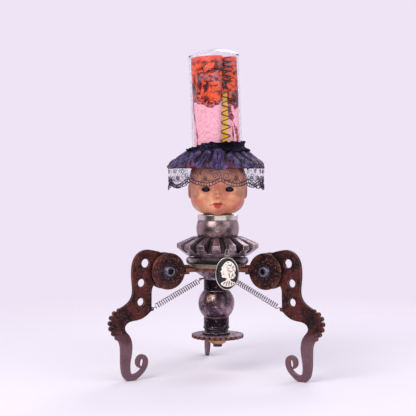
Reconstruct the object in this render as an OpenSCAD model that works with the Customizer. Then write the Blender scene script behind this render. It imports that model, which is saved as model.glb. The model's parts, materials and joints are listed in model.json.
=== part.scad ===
/* [Legs] */
// Distance from the post's axis to each shoulder pipe
shoulder_r = 80; // [76:1:90]
// Height of the shoulder pipes above the floor
shoulder_z = 145.5; // [140:0.5:160]
// Thickness of each leg plate
leg_t = 5; // [4:0.5:6]
// Radius of the plate round each shoulder pipe
shoulder_eye_r = 22; // [18:1:24]
// Distance from the shoulder pipe out to the knee
knee_spread = 86; // [80:1:95]
// Radius of the scallops on the knee
knee_scallop_r = 3.4; // [2.6:0.2:4]
// Radius of the upper hole in a leg
upper_hole_r = 6; // [4:0.25:7]
// Radius of the middle hole in a leg
middle_hole_r = 5.5; // [4:0.25:6]
// Radius of the lower hole in a leg
lower_hole_r = 5.25; // [4:0.25:6]
// Turn of the left leg forward of straight left, in degrees
left_turn = 29; // [25:0.5:35]
// Turn of the right leg forward of straight right, in degrees
right_turn = 32; // [25:0.5:35]
// Turn of the back leg away from straight back, in degrees
back_skew = 7; // [0:1:12]

/* [Shoulders] */
// Outer radius of the hollow threaded pipe
pipe_r = 5; // [4:0.5:6]
// Bore radius of the hollow threaded pipe
pipe_bore_r = 3.5; // [2:0.25:3.75]
// Radius of the large shoulder washers
disc_r = 25; // [23:0.5:27]
// Thickness of the large shoulder washers
disc_t = 4; // [2:0.5:5]
// Chamfer on the washers' outer edges
disc_chamfer = 0.8; // [0.2:0.1:1]
// Radius of the spacer between a leg and its front washer
spacer_r = 11; // [8:0.5:14]
// Thickness of the spacer between a leg and its front washer
spacer_t = 2; // [1:0.5:3]
// Base radius of a cone nut
cone_nut_r = 8.5; // [7:0.5:10]
// Height of a cone nut
cone_nut_h = 6; // [4:0.5:8]
// Thickness of the ear that carries a leg
ear_t = 4; // [3:0.5:5]
// Radius of the ear round the shoulder pipe
ear_r = 15; // [12:1:18]
// Gap between a leg's faces and the pieces beside it
side_gap = 0.1; // [0.05:0.05:0.3]
// Radial running clearance of a leg on its pipe
run_fit = 0.05; // [0.02:0.01:0.1]
// Radial clearance of the fixed pieces on a pipe
slip_fit = 0.1; // [0.05:0.05:0.3]

/* [Leg springs] */
// Outer radius of a leg spring's coil
spring_r = 3.4; // [2.5:0.1:4]
// Wire diameter of a leg spring
spring_wire = 1; // [0.8:0.1:1.2]
// Turns in a leg spring
spring_turns = 21; // [12:1:22]
// Straight wire between the upper stud and the coil
spring_lead_top = 3; // [1:0.5:6]
// Straight wire between the coil and the leg's eye
spring_lead_low = 5; // [1:0.5:8]
// Radius of the ball on a spring stud
stud_ball_r = 2; // [1.5:0.1:3]
// Distance of a spring stud's ball from the post's axis
stud_reach = 27.5; // [25:0.5:30]

/* [Stack] */
// Radius of the sprocket over its teeth
sprocket_r = 36.4; // [32:0.2:40]
// Thickness of the sprocket
sprocket_t = 4.5; // [3:0.5:6]
// Number of sprocket teeth
sprocket_teeth = 28; // [20:1:34]
// Radius of the end nut below the sprocket
end_nut_r = 6.4; // [6.2:0.1:8]
// Height of the end nut
end_nut_h = 4; // [3:0.5:6]
// Widest radius of the brass cap below the sprocket
cap_r = 14; // [10:0.5:16]
// Height of the brass cap
cap_h = 9; // [6:0.5:10]
// Radius of the post's foot flange
post_flange_r = 19.5; // [18:0.5:22]
// Radius of the post's shafts
post_shaft_r = 17.6; // [15:0.2:18]
// Radius of the post's ball
post_ball_r = 25.3; // [22:0.1:28]
// How far the post sits to the left of the pipe, for its bore is off centre
post_shift = 1.8; // [0:0.1:3]
// Length of the post
post_h = 77.7; // [70:0.1:84]
// Top radius of the fluted collar
collar_r = 33; // [30:0.5:35]
// Height of the fluted collar
collar_h = 11.8; // [8:0.2:14]
// Flutes round the collar
collar_flutes = 20; // [12:1:24]
// Radius of the hub plate
hub_r = 37.5; // [34:0.5:40]
// Thickness of the hub plate
hub_t = 5.2; // [4:0.2:7]
// Width of the hub plate's arms
arm_w = 18; // [14:1:22]
// Radius of the tin lid above the hub plate
lid_r = 41; // [36:0.5:42]
// Height of the tin lid
lid_h = 5.5; // [4:0.5:7]
// Radius of the ribbed disc
rib_disc_r = 35; // [32:0.5:37]
// Thickness of the ribbed disc
rib_disc_t = 4; // [3:0.5:6]
// Ribs round the ribbed disc
rib_count = 56; // [30:2:64]
// Distance of the lobes' centres from the axis
lobe_reach = 43.5; // [40:0.5:46]
// Radius of the lobes
lobe_r = 5.6; // [4:0.2:5.8]
// Radius of the lobed spacer's middle
lobe_hub_r = 30; // [24:0.5:31]
// Thickness of the lobed spacer's middle
lobe_hub_t = 5.2; // [4:0.2:6]

/* [Bevel gear] */
// Number of gear teeth
gear_teeth = 16; // [14:1:18]
// Largest radius of the gear
gear_r = 57.2; // [52:0.2:60]
// Top radius of the gear's cone
gear_top_r = 36.3; // [33:0.1:38]
// Height of the gear
gear_h = 26.8; // [24:0.2:30]
// Half width of a tooth gap at the small end
gear_gap_in = 2.2; // [1.5:0.1:2.6]
// Half width of a tooth gap at the large end
gear_gap_out = 3.6; // [2.5:0.1:4.2]

/* [Neck and head] */
// Radius of the neck barrel at its ends
barrel_r = 27.6; // [25:0.2:30]
// How far the barrel swells at its middle
barrel_swell = 2.2; // [0:0.2:4]
// Height of the neck barrel
barrel_h = 23; // [18:0.5:28]
// Radius of the polished neck band
band_r = 28.3; // [26:0.1:30]
// Height of the polished neck band
band_h = 8.4; // [6:0.2:12]
// Radius of the doll's head over the cranium
head_r = 40; // [38:0.5:42]
// Height of the doll's head up to its cut crown
head_h = 75; // [70:1:80]
// Wall of the doll's head
head_wall = 3.5; // [2.5:0.25:5]
// Radius of the neck plug inside the head
plug_r = 20; // [16:0.5:21]
// Thickness of the neck plug
plug_t = 8; // [7:0.5:10]
// Radius of the lock nut under the neck plug
lock_nut_r = 9; // [8:0.5:11]
// Height of the lock nut under the neck plug
lock_nut_h = 4; // [3:0.5:5]
// Radius of the doll's eyes
eye_r = 6.5; // [5:0.25:7]
// Distance between the doll's eyes
eye_gap = 32; // [30:0.5:35]
// Height of the eyes above the chin
eye_h = 35.5; // [33:0.5:38]
// Radius of the crown disc the jar stands on
crown_r = 38; // [38:0.5:41]
// Thickness of the crown disc at its middle
crown_t = 7; // [5:0.5:10]

/* [Hat] */
// Height of the elastic band round the jar's foot
hat_band_h = 16; // [12:0.5:20]
// Thickness of the elastic band
hat_band_t = 2.4; // [1.5:0.1:3]
// Outer radius of the satin ruffle
ruffle_r = 70; // [64:0.5:74]
// How far the ruffle reaches further to the left than to the right
ruffle_shift = 3; // [0:0.25:5]
// Drop of the ruffle from the band to its edge
ruffle_drop = 25; // [18:0.5:30]
// Thickness of the gathered satin
ruffle_t = 3.2; // [2.4:0.2:4]
// Folds round the ruffle
ruffle_folds = 20; // [14:1:20]
// Height of a fold at the ruffle's edge
fold_h = 1.6; // [0.6:0.1:2]
// Drop of the lace below the ruffle's edge
lace_drop = 22; // [16:0.5:28]
// How much further the lace hangs at the sides
lace_side_drop = 4; // [0:0.5:8]
// Thickness of the gathered lace
lace_t = 1.2; // [0.8:0.1:1.6]
// Scallops round the lace
lace_scallops = 16; // [12:1:16]
// Depth of a scallop in the lace's edge
scallop_h = 3.5; // [1:0.25:5]

/* [Jar] */
// Outer radius of the glass jar
jar_r = 35; // [33:0.25:36]
// Height of the glass jar
jar_h = 148; // [135:0.5:160]
// Wall of the glass jar
jar_wall = 2.5; // [2:0.25:3]
// Thickness of the jar's domed end
jar_end_t = 4; // [3:0.5:8]
// Rise of the jar's domed end
jar_dome = 9; // [5:0.5:12]
// Lean of the jar to its left, in degrees
jar_lean = 2.35; // [0:0.05:4]
// Thickness of the rolled print
print_t = 2; // [1.5:0.25:3]
// Clearance round the rolled print
print_gap = 1.2; // [0.8:0.1:2]
// Outer radius of the spring in the jar
coil_r = 6.8; // [5:0.1:7]
// Wire diameter of the spring in the jar
coil_wire = 1.4; // [1:0.1:1.6]
// Wide turns in the lower part of the jar's spring
coil_wide_turns = 8; // [6:1:8]
// Close turns in the upper part of the jar's spring
coil_close_turns = 5; // [3:1:5]

/* [Cameo pendant] */
// Half width of the pendant
pendant_a = 16; // [14:0.25:17]
// Half height of the pendant
pendant_b = 22.2; // [20:0.2:24]
// Thickness of the pendant's bezel
bezel_t = 5; // [4:0.2:6]
// Width of the bezel's rim
bezel_rim = 1.6; // [1.2:0.1:2]
// Depth of the recess that holds the cameo
cameo_recess = 2.4; // [1.8:0.1:2.6]
// Thickness of the cameo's dark ground
ground_t = 1.6; // [1:0.1:1.7]
// Height of the ivory relief
relief_t = 1.6; // [1:0.1:2]
// Wire radius of the bail and the hanging wire
wire_r = 0.4; // [0.3:0.05:0.45]
// Distance of the pendant from the gear's rim
pendant_stand_off = 2.1; // [1.8:0.1:4]
// Distance of the pendant to the right of the axis
pendant_x = 12.6; // [8:0.2:16]

/* [Hidden] */
$fn = 96;

// A leg is [azimuth, the side its front washer is on]
LEFT = [180 + left_turn, 1];
RIGHT = [-right_turn, -1];
BACK = [90 + back_skew, 1];
LEGS = [LEFT, RIGHT, BACK];

// The leg outline's own shoulder place and knee spread, as it is drawn below
drawn_shoulder = [80, 145.5];
drawn_spread = 86;

// The post stands in front of the middle of its three feet
plate_y = leg_t / 2 * (cos(right_turn) - sin(back_skew));
post_y = -((shoulder_r + knee_spread) * (cos(back_skew) - sin(right_turn)) - plate_y) / 2;

// Heights of the stack, built both ways from the hub plate at the shoulders' height
hub_z = shoulder_z - hub_t / 2;
collar_z = hub_z - collar_h;
post_z = collar_z - post_h;
sprocket_z = post_z - sprocket_t;
cap_z = sprocket_z - cap_h;
end_nut_z = cap_z - end_nut_h;
lid_z = hub_z + hub_t;
rib_disc_z = lid_z + lid_h;
lobe_z = rib_disc_z + rib_disc_t;
gear_z = lobe_z + lobe_hub_t;
barrel_z = gear_z + gear_h;
band_z = barrel_z + barrel_h;
head_z = band_z + band_h;
crown_z = head_z + head_h;
jar_z = crown_z + crown_t;

// A closed curve through a ring of points, with s steps to each point
function curve_at(a, b, c, d, t) =
  0.5 * (2 * b + (c - a) * t + (2 * a - 5 * b + 4 * c - d) * t * t + (3 * b - a - 3 * c + d) * t * t * t);
function closed_curve(p, s) = let (n = len(p)) [
  for (i = [0 : n - 1], k = [0 : s - 1])
    curve_at(p[(i + n - 1) % n], p[i], p[(i + 1) % n], p[(i + 2) % n], k / s)
];
function oval(a, b, n) = [for (i = [0 : n - 1]) [a * cos(360 * i / n), b * sin(360 * i / n)]];
function unit(v) = v / norm(v);

module on_post() {
  translate([0, post_y, 0]) children();
}

// The leg's own plane: X runs out along the leg, and Y is square to its plate
module on_leg(leg) {
  on_post() rotate([0, 0, leg[0]]) children();
}

// A round piece on a shoulder pipe, from u0 to u1 along the pipe, positive towards the front washer
module on_pipe(leg, u0) {
  on_leg(leg) translate([shoulder_r, leg[1] * u0, shoulder_z]) rotate([leg[1] * -90, 0, 0]) children();
}

// A ring on the post, from height z0 upwards
module ring(r, bore, z0, h) {
  on_post() translate([0, 0, z0]) difference() {
    cylinder(r = r, h = h);
    translate([0, 0, -1]) cylinder(r = bore, h = h + 2);
  }
}

fixed_bore = pipe_r + slip_fit;

// Leg plates

// The outline of a leg in its plane, distance from the axis and height
LEG_OUTLINE = [
  [76, 163], [84, 169], [92, 172.3], [100, 174.3], [108, 175.5], [115, 174.6], [121.5, 171.3], [126.5, 166],
  [129.8, 159], [131.4, 150], [131.6, 140], [130.8, 130], [130.2, 121], [131.6, 113], [136, 106.3],
  [142, 101.8], [147.5, 98.8], [152.5, 95], [158.5, 88], [160.5, 78], [157.5, 66], [152, 56], [149, 49.5],
  [148.2, 43], [148, 34], [148, 25], [147.3, 16], [145.6, 8.5], [142, 3], [137, -0.6], [131.5, -0.8],
  [125.5, 1.6], [120, 5.5], [114, 11], [110, 17.5], [108.5, 24], [109.6, 29.5], [113.5, 33.6],
  [118, 34.4], [122.5, 32.6], [125.6, 28.5], [126.3, 23.5], [124.8, 19.2], [121.8, 16.6], [119.4, 16.4],
  [119.2, 18.2], [120.4, 20.6], [120.2, 24.6], [118.8, 28], [116.6, 28.8], [115, 26.4], [115.2, 21.4],
  [118.2, 15.2], [122.6, 11.2], [128, 8.9], [132, 9.3], [134.2, 12], [134.7, 18], [134.2, 26], [132.6, 35],
  [131.6, 45], [132.6, 54], [135.8, 61], [140, 66], [142.3, 70.5], [141.3, 75], [137.5, 78.5],
  [131.5, 80.3], [124.5, 81], [117.5, 82.8], [111.5, 86], [106.5, 90], [103.4, 93], [103.2, 97],
  [103.2, 103], [103, 112], [102.9, 119], [101.5, 124.5], [98.5, 127.8], [93.5, 128.8], [86, 128], [76, 128]
];
// Centres of the knee's scallops
KNEE_SCALLOPS = [
  [149.5, 95], [156.2, 91.6], [160.7, 86], [162.4, 78.8], [161.4, 71.6], [157.8, 65], [152.6, 59]
];
spring_eye = [102.5, 95];
spring_eye_r = 2.8;
spring_eye_hole_r = 1.1;
LEG_HOLES = [[112, 157.3], [117.8, 131], [118.8, 105.5]];
outline_steps = 3;

// A drawn point moved to the leg's real shoulder and knee
function leg_point(p) = [
  shoulder_r + (p[0] - drawn_shoulder[0]) * knee_spread / drawn_spread,
  p[1] * shoulder_z / drawn_shoulder[1]
];

module leg_slab(t) {
  rotate([90, 0, 0]) linear_extrude(height = t, center = true) children();
}

module leg(leg) {
  over = leg_t + 2;
  hole_r = [upper_hole_r, middle_hole_r, lower_hole_r];
  color([0.36, 0.2, 0.2]) on_leg(leg) difference() {
    union() {
      leg_slab(leg_t) polygon([for (p = closed_curve(LEG_OUTLINE, outline_steps)) leg_point(p)]);
      for (p = KNEE_SCALLOPS) leg_slab(leg_t) translate(leg_point(p)) circle(r = knee_scallop_r, $fn = 32);
      leg_slab(leg_t) translate(leg_point(spring_eye)) circle(r = spring_eye_r, $fn = 32);
      leg_slab(leg_t) translate([shoulder_r, shoulder_z]) circle(r = shoulder_eye_r);
    }
    leg_slab(over) translate([shoulder_r, shoulder_z]) circle(r = pipe_r + run_fit);
    for (i = [0 : 2]) leg_slab(over) translate(leg_point(LEG_HOLES[i])) circle(r = hole_r[i]);
    leg_slab(over) translate(leg_point(spring_eye)) circle(r = spring_eye_hole_r, $fn = 24);
    translate([shoulder_r, -over, -over]) cube([knee_spread * 2, over * 2, over]);
  }
}

// Shoulders

front_spacer_u = leg_t / 2 + side_gap;
front_disc_u = front_spacer_u + spacer_t;
front_nut_u = front_disc_u + disc_t;
ear_u = -leg_t / 2 - side_gap - ear_t;
back_disc_u = ear_u - disc_t;
back_nut_u = back_disc_u - cone_nut_h;

module washer(r, t, chamfer) {
  rotate_extrude() polygon([
    [fixed_bore, 0], [r - chamfer, 0], [r, chamfer], [r, t - chamfer], [r - chamfer, t], [fixed_bore, t]
  ]);
}

module front_disc(leg) {
  color([0.24, 0.15, 0.15]) on_pipe(leg, front_disc_u) washer(disc_r, disc_t, disc_chamfer);
}

module back_disc(leg) {
  color([0.24, 0.15, 0.15]) on_pipe(leg, back_disc_u) washer(disc_r, disc_t, disc_chamfer);
}

module spacer(leg) {
  color([0.2, 0.16, 0.17]) on_pipe(leg, front_spacer_u) washer(spacer_r, spacer_t, 0.2);
}

module cone_nut() {
  land = 1.2;
  top_r = pipe_r + 1;
  rotate_extrude() polygon([
    [fixed_bore, 0], [cone_nut_r, 0], [cone_nut_r, land],
    [top_r + 0.6, cone_nut_h - 0.8], [top_r, cone_nut_h], [fixed_bore, cone_nut_h]
  ]);
}

module cone_nuts(leg) {
  color([0.48, 0.47, 0.53]) {
    on_pipe(leg, front_nut_u) cone_nut();
    on_pipe(leg, back_disc_u) mirror([0, 0, 1]) cone_nut();
  }
}

module shoulder_pipe(leg) {
  color([0.45, 0.44, 0.48]) on_pipe(leg, back_nut_u) difference() {
    cylinder(r = pipe_r, h = front_nut_u + cone_nut_h - back_nut_u);
    translate([0, 0, -1]) cylinder(r = pipe_bore_r, h = front_nut_u + cone_nut_h - back_nut_u + 2);
  }
}

// Springs: one unbroken tube of 6 sides, with 8 rings to a turn

TUBE_SIDES = 6;
RINGS_PER_TURN = 8;

// Points of a coil along Z that starts at height z0
function coil_points(r, turns, z0, pitch) = [
  for (i = [0 : turns * RINGS_PER_TURN])
    let (t = i / RINGS_PER_TURN) [r * cos(360 * t), r * sin(360 * t), z0 + pitch * t]
];

// The direction of a path at its point i
function heading(p, i) = unit(p[min(i + 1, len(p) - 1)] - p[max(i - 1, 0)]);

// A tube of radius w swept along points p, kept level with the reference direction of each ring
module tube(p, w, ref) {
  n = len(p);
  rings = [
    for (i = [0 : n - 1])
      let (d = heading(p, i), a = unit(cross(d, ref[i])), b = cross(d, a))
        for (k = [0 : TUBE_SIDES - 1])
          p[i] + w * (cos(360 * k / TUBE_SIDES) * a + sin(360 * k / TUBE_SIDES) * b)
  ];
  sides = [
    for (i = [0 : n - 2], k = [0 : TUBE_SIDES - 1])
      let (a = i * TUBE_SIDES + k, b = i * TUBE_SIDES + (k + 1) % TUBE_SIDES)
        each [[a, a + TUBE_SIDES, b], [b, a + TUBE_SIDES, b + TUBE_SIDES]]
  ];
  last = (n - 1) * TUBE_SIDES;
  caps = [for (k = [1 : TUBE_SIDES - 2]) each [[0, k, k + 1], [last, last + k + 1, last + k]]];
  polyhedron(points = rings, faces = concat(sides, caps), convexity = 10);
}

// A tube of radius w round a closed path p
module closed_tube(p, w, ref) {
  n = len(p);
  rings = [
    for (i = [0 : n - 1])
      let (d = unit(p[(i + 1) % n] - p[(i + n - 1) % n]), a = unit(cross(d, ref)), b = cross(d, a))
        for (k = [0 : TUBE_SIDES - 1])
          p[i] + w * (cos(360 * k / TUBE_SIDES) * a + sin(360 * k / TUBE_SIDES) * b)
  ];
  polyhedron(points = rings, faces = [
    for (i = [0 : n - 1], k = [0 : TUBE_SIDES - 1])
      let (
        a = i * TUBE_SIDES + k,
        b = i * TUBE_SIDES + (k + 1) % TUBE_SIDES,
        c = (i + 1) % n * TUBE_SIDES + k,
        d = (i + 1) % n * TUBE_SIDES + (k + 1) % TUBE_SIDES
      ) each [[a, c, b], [b, c, d]]
  ], convexity = 4);
}

// The least gap of a tube to itself, between points at least half a turn apart
function least_gap(p, wire) = min([
  for (i = [0 : len(p) - 1], j = [i + RINGS_PER_TURN / 2 : len(p) - 1]) norm(p[i] - p[j])
]) - wire;

// Spring anchors in a leg's plane: the stud's ball and the eye in the leg
stud_z = collar_z + 0.5;
anchor_top = [stud_reach, stud_z];
anchor_low = leg_point(spring_eye);
spring_run = norm(anchor_low - anchor_top);
coil_start = stud_ball_r + spring_lead_top;
coil_length = spring_run - coil_start - spring_eye_r - spring_lead_low;
coil_centre_r = spring_r - spring_wire / 2;
spring_pitch = coil_length / spring_turns;
leg_coil = coil_points(coil_centre_r, spring_turns, coil_start, spring_pitch);
stud_overlap = 0.2;
eye_gap_low = 0.1;
echo(leg_spring_gap = least_gap(leg_coil, spring_wire));

// A leg spring along Z, with a straight lead at each end that runs in to the spring's axis
function leg_spring_points() = concat(
  [[0, 0, stud_ball_r - stud_overlap], [0, 0, stud_ball_r + spring_wire]],
  leg_coil,
  [
    [0, 0, spring_run - spring_eye_r - spring_wire],
    [0, 0, spring_run - spring_eye_r - eye_gap_low]
  ]
);
function leg_spring_ref() = let (n = spring_turns * RINGS_PER_TURN) concat(
  [[1, 0, 0.2], [1, 0, 0.2]],
  [for (i = [0 : n]) [0, 0, 1]],
  [[1, 0, 0.2], [1, 0, 0.2]]
);

module leg_spring(leg) {
  slope = atan2(anchor_top[1] - anchor_low[1], anchor_low[0] - anchor_top[0]);
  color([0.7, 0.7, 0.74]) on_leg(leg) translate([anchor_top[0], 0, anchor_top[1]]) rotate([0, 90 + slope, 0])
    tube(leg_spring_points(), spring_wire / 2, leg_spring_ref());
}

// Stack pieces, from the floor upwards

module centre_pipe() {
  color([0.4, 0.38, 0.4]) ring(pipe_r, pipe_bore_r, end_nut_z, pipe_top_z - end_nut_z);
}

module end_nut() {
  color([0.2, 0.17, 0.2]) ring(end_nut_r, fixed_bore, end_nut_z, end_nut_h);
}

module brass_cap() {
  color([0.72, 0.55, 0.32]) on_post() translate([0, 0, cap_z]) rotate_extrude() polygon(concat(
    [[fixed_bore, cap_h], [fixed_bore, 0]],
    [for (a = [0 : 10 : 90]) [end_nut_r + 0.6 + (cap_r - end_nut_r - 0.6) * sin(a), cap_h * (1 - cos(a))]]
  ));
}

module sprocket() {
  tooth_r = PI * sprocket_r / sprocket_teeth * 0.8;
  root_r = sprocket_r - tooth_r;
  color([0.5, 0.32, 0.28]) on_post() translate([0, 0, sprocket_z]) difference() {
    union() {
      cylinder(r = root_r, h = sprocket_t);
      for (i = [0 : sprocket_teeth - 1]) rotate([0, 0, i * 360 / sprocket_teeth])
        translate([root_r, 0, 0]) cylinder(r = tooth_r, h = sprocket_t, $fn = 24);
    }
    translate([0, 0, -1]) cylinder(r = fixed_bore, h = sprocket_t + 2);
  }
}

// The post's outline, radius and height above its foot
ball_z = post_h * 0.556;
ball_reach = sqrt(post_ball_r * post_ball_r - post_shaft_r * post_shaft_r);
ball_angle = atan2(ball_reach, post_shaft_r);
POST_FOOT = [[0, 0], [0, 3], [-2.5, 3.8], [-3.4, 6.4], [-2.2, 7.6], [-1, 9], [-1.4, 10.4]];

module turned_post() {
  color([0.34, 0.3, 0.33]) on_post() translate([0, 0, post_z]) difference() {
    translate([-post_shift, 0, 0]) rotate_extrude() polygon(concat(
      [[0, post_h], [0, 0]],
      [for (p = POST_FOOT) [post_flange_r + p[0], p[1]]],
      [[post_shaft_r, 11.4]],
      [for (a = [-ball_angle : ball_angle / 10 : ball_angle + 0.01])
        [post_ball_r * cos(a), ball_z + post_ball_r * sin(a)]],
      [[post_shaft_r, post_h]]
    ));
    translate([0, 0, -1]) cylinder(r = fixed_bore, h = post_h + 2);
  }
}

module fluted_collar() {
  foot_r = 20;
  flute_r = 1.5;
  slope = atan2(collar_r - foot_r, collar_h - 2);
  color([0.6, 0.58, 0.6]) on_post() union() {
    difference() {
      translate([0, 0, collar_z]) rotate_extrude() polygon([
        [fixed_bore, 0], [foot_r, 0], [foot_r, 2], [collar_r, collar_h - 1], [collar_r, collar_h],
        [fixed_bore, collar_h]
      ]);
      for (i = [0 : collar_flutes - 1]) rotate([0, 0, i * 360 / collar_flutes])
        translate([foot_r + 0.9, 0, collar_z + 2]) rotate([0, slope, 0])
          cylinder(r = flute_r, h = collar_r, $fn = 24);
    }
    for (leg = LEGS) rotate([0, 0, leg[0]]) {
      translate([foot_r - 2, 0, stud_z + 0.6]) rotate([0, 90, 0])
        cylinder(r = 1.1, h = stud_reach - foot_r + 2, $fn = 24);
      translate([stud_reach, 0, stud_z]) sphere(r = stud_ball_r, $fn = 32);
    }
  }
}

module hub_plate() {
  fork_r = shoulder_r - disc_r - 1;
  arm_root = hub_r / 2;
  ear_root = lid_r + 2;
  ear_half = 6.5;
  color([0.5, 0.26, 0.16]) difference() {
    union() {
      on_post() translate([0, 0, hub_z]) cylinder(r = hub_r, h = hub_t);
      for (leg = LEGS) on_leg(leg) {
        translate([arm_root, -arm_w / 2, hub_z]) cube([fork_r - arm_root, arm_w, hub_t]);
        translate([ear_root, leg[1] > 0 ? ear_u : -ear_u - ear_t, shoulder_z - ear_half])
          cube([shoulder_r - ear_root, ear_t, ear_half * 2]);
      }
      for (leg = LEGS) on_pipe(leg, ear_u) cylinder(r = ear_r, h = ear_t);
    }
    on_post() translate([0, 0, hub_z - 1]) cylinder(r = fixed_bore, h = hub_t + 2);
    for (leg = LEGS) on_pipe(leg, ear_u - 1) cylinder(r = fixed_bore, h = ear_t + 2);
  }
}

module tin_lid() {
  lip = 1.6;
  color([0.7, 0.66, 0.6]) on_post() translate([0, 0, lid_z]) rotate_extrude() polygon([
    [fixed_bore, 0], [lid_r - 0.4, 0], [lid_r, 0.4], [lid_r, lip],
    [lid_r - 1.2, lip + 0.6], [lid_r - 1.2, lid_h], [fixed_bore, lid_h]
  ]);
}

module ribbed_disc() {
  color([0.12, 0.1, 0.11]) on_post() translate([0, 0, rib_disc_z]) difference() {
    cylinder(r = rib_disc_r, h = rib_disc_t);
    for (i = [0 : rib_count - 1]) rotate([0, 0, i * 360 / rib_count])
      translate([rib_disc_r + 0.2, 0, -1]) cylinder(r = 1.1, h = rib_disc_t + 2, $fn = 16);
    translate([0, 0, -1]) cylinder(r = fixed_bore, h = rib_disc_t + 2);
  }
}

// A lobe is a thick finger with a round end, cut flat where it lies between the discs
module lobe_finger() {
  shank = lobe_reach - lobe_hub_r + 4;
  rotate([0, 90, 0]) rotate_extrude() polygon(concat(
    [[0, 0], [lobe_r, 0]],
    [for (a = [0 : 15 : 90]) [lobe_r * cos(a), shank + lobe_r * sin(a)]]
  ));
}

module lobed_spacer() {
  lobe_z_mid = lobe_r - rib_disc_t - 0.8;
  reach = lobe_reach + lobe_r * 2;
  color([0.62, 0.6, 0.63]) on_post() translate([0, 0, lobe_z]) difference() {
    union() {
      cylinder(r = lobe_hub_r, h = lobe_hub_t);
      for (leg = LEGS) rotate([0, 0, leg[0]]) translate([lobe_hub_r - 4, 0, lobe_z_mid]) lobe_finger();
    }
    translate([0, 0, -reach]) cylinder(r = rib_disc_r + 0.6, h = reach);
    translate([0, 0, -reach - rib_disc_t]) cylinder(r = lid_r + 0.5, h = reach);
    translate([0, 0, lobe_hub_t]) cylinder(r = gear_back_r, h = reach);
    translate([0, 0, -reach]) cylinder(r = fixed_bore, h = reach * 2);
  }
}

// Bevel gear: its blank is a turned outline, and each gap is cut along the root cone
gear_rim_z = gear_h * 0.45;
gear_rim_h = gear_h * 0.21;
gear_heel = 14.2;
gear_back_r = gear_r - gear_heel;
gear_hub_r = 31;

module gear_gap() {
  root_slope = 42;
  flank = 12;
  inner = -14;
  outer = gear_r * 0.6;
  translate([gear_top_r - 5.5, 0, gear_h - 4]) rotate([0, root_slope, 0])
    for (side = [-1, 0, 1]) rotate([side * flank, 0, 0]) linear_extrude(height = gear_h)
      polygon([[inner, -gear_gap_in], [outer, -gear_gap_out], [outer, gear_gap_out], [inner, gear_gap_in]]);
}

module bevel_gear() {
  first_tooth = 268;
  back_h = 1.3;
  color([0.36, 0.33, 0.36]) on_post() translate([0, 0, gear_z]) difference() {
    rotate_extrude() polygon([
      [fixed_bore, 0], [gear_hub_r, 0], [gear_back_r, back_h], [gear_r, gear_rim_z],
      [gear_r, gear_rim_z + gear_rim_h], [gear_top_r, gear_h], [fixed_bore, gear_h]
    ]);
    for (i = [0 : gear_teeth - 1]) rotate([0, 0, first_tooth + (i + 0.5) * 360 / gear_teeth]) gear_gap();
  }
}

module neck_barrel() {
  color([0.5, 0.46, 0.46]) on_post() translate([0, 0, barrel_z]) rotate_extrude() polygon(concat(
    [[fixed_bore, barrel_h], [fixed_bore, 0]],
    [for (i = [0 : 12]) let (t = i / 6 - 1) [barrel_r + barrel_swell * (1 - t * t), barrel_h * i / 12]]
  ));
}

module neck_band() {
  edge = 0.8;
  color([0.78, 0.74, 0.72]) on_post() translate([0, 0, band_z]) rotate_extrude() polygon([
    [fixed_bore, 0], [band_r - 1.2, 0], [band_r - 1.2, edge], [band_r, edge + 0.3], [band_r, band_h - edge],
    [band_r - edge, band_h], [fixed_bore, band_h]
  ]);
}

// Head

eye_y = -head_r * 0.815;
head_mid = head_h * 0.55;
skull_y = 2;
// The cut crown's rim, which the crown disc rests on
crown_rim_r = head_r * 0.825;
cranium_mid = head_h - sqrt(head_r * head_r - crown_rim_r * crown_rim_r);

module head_form(inset, sides) {
  hull() {
    for (z = [head_mid, cranium_mid]) translate([0, skull_y, z]) sphere(r = head_r - inset, $fn = sides);
    for (x = [-1, 1]) translate([x * head_r * 0.4, -head_r * 0.34, head_h * 0.27])
      sphere(r = head_r * 0.52 - inset, $fn = sides);
    translate([0, -head_r * 0.66, head_h * 0.15]) sphere(r = head_r * 0.27 - inset, $fn = sides);
  }
}

module at_eyes() {
  for (x = [-1, 1]) translate([x * eye_gap / 2, eye_y, eye_h]) children();
}

// A bore from inside the head, and a cone to its face that the eye's ball seats against
module eye_socket() {
  slant = 40;
  seat = (eye_r + slip_fit) / cos(slant);
  depth = eye_r * 1.1;
  over = 0.01;
  rotate([90, 0, 0]) cylinder(r1 = seat, r2 = seat - depth * tan(slant), h = depth, $fn = 48);
  rotate([-90, 0, 0]) translate([0, 0, -over]) cylinder(r = seat, h = eye_r + slip_fit, $fn = 48);
}

module doll_head() {
  big = head_r * 3;
  crown_hole_r = crown_rim_r - 5;
  ear_lobe_r = head_r * 0.15;
  ear_x = head_r * 0.885;
  ear_h = head_h * 0.42;
  ear_depth = head_r * 0.12;
  color([0.86, 0.62, 0.5]) on_post() translate([0, 0, head_z]) difference() {
    union() {
      head_form(0, 32);
      for (x = [-1, 1]) translate([x * ear_x, skull_y, ear_h]) rotate([90, 0, 0])
        cylinder(r = ear_lobe_r, h = ear_depth, center = true, $fn = 32);
    }
    difference() {
      head_form(head_wall, 20);
      translate([0, 0, -big + plug_t]) cube([big, big, big * 2], center = true);
    }
    translate([0, 0, -1]) cylinder(r = plug_r + slip_fit, h = big);
    translate([0, 0, head_h / 2]) cylinder(r = crown_hole_r, h = big);
    translate([0, 0, -big / 2]) cube([big, big, big], center = true);
    translate([0, 0, head_h + big / 2]) cube([big, big, big], center = true);
    at_eyes() eye_socket();
  }
}

module doll_eyes() {
  color([0.12, 0.13, 0.2]) on_post() translate([0, 0, head_z]) at_eyes() sphere(r = eye_r, $fn = 48);
}

// The lock nut holds the stack together, and the head turns above it
module lock_nut() {
  color([0.5, 0.48, 0.48]) on_post() translate([0, 0, head_z]) difference() {
    cylinder(r = lock_nut_r, h = lock_nut_h, $fn = 6);
    translate([0, 0, -1]) cylinder(r = fixed_bore, h = lock_nut_h + 2);
  }
}

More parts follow.
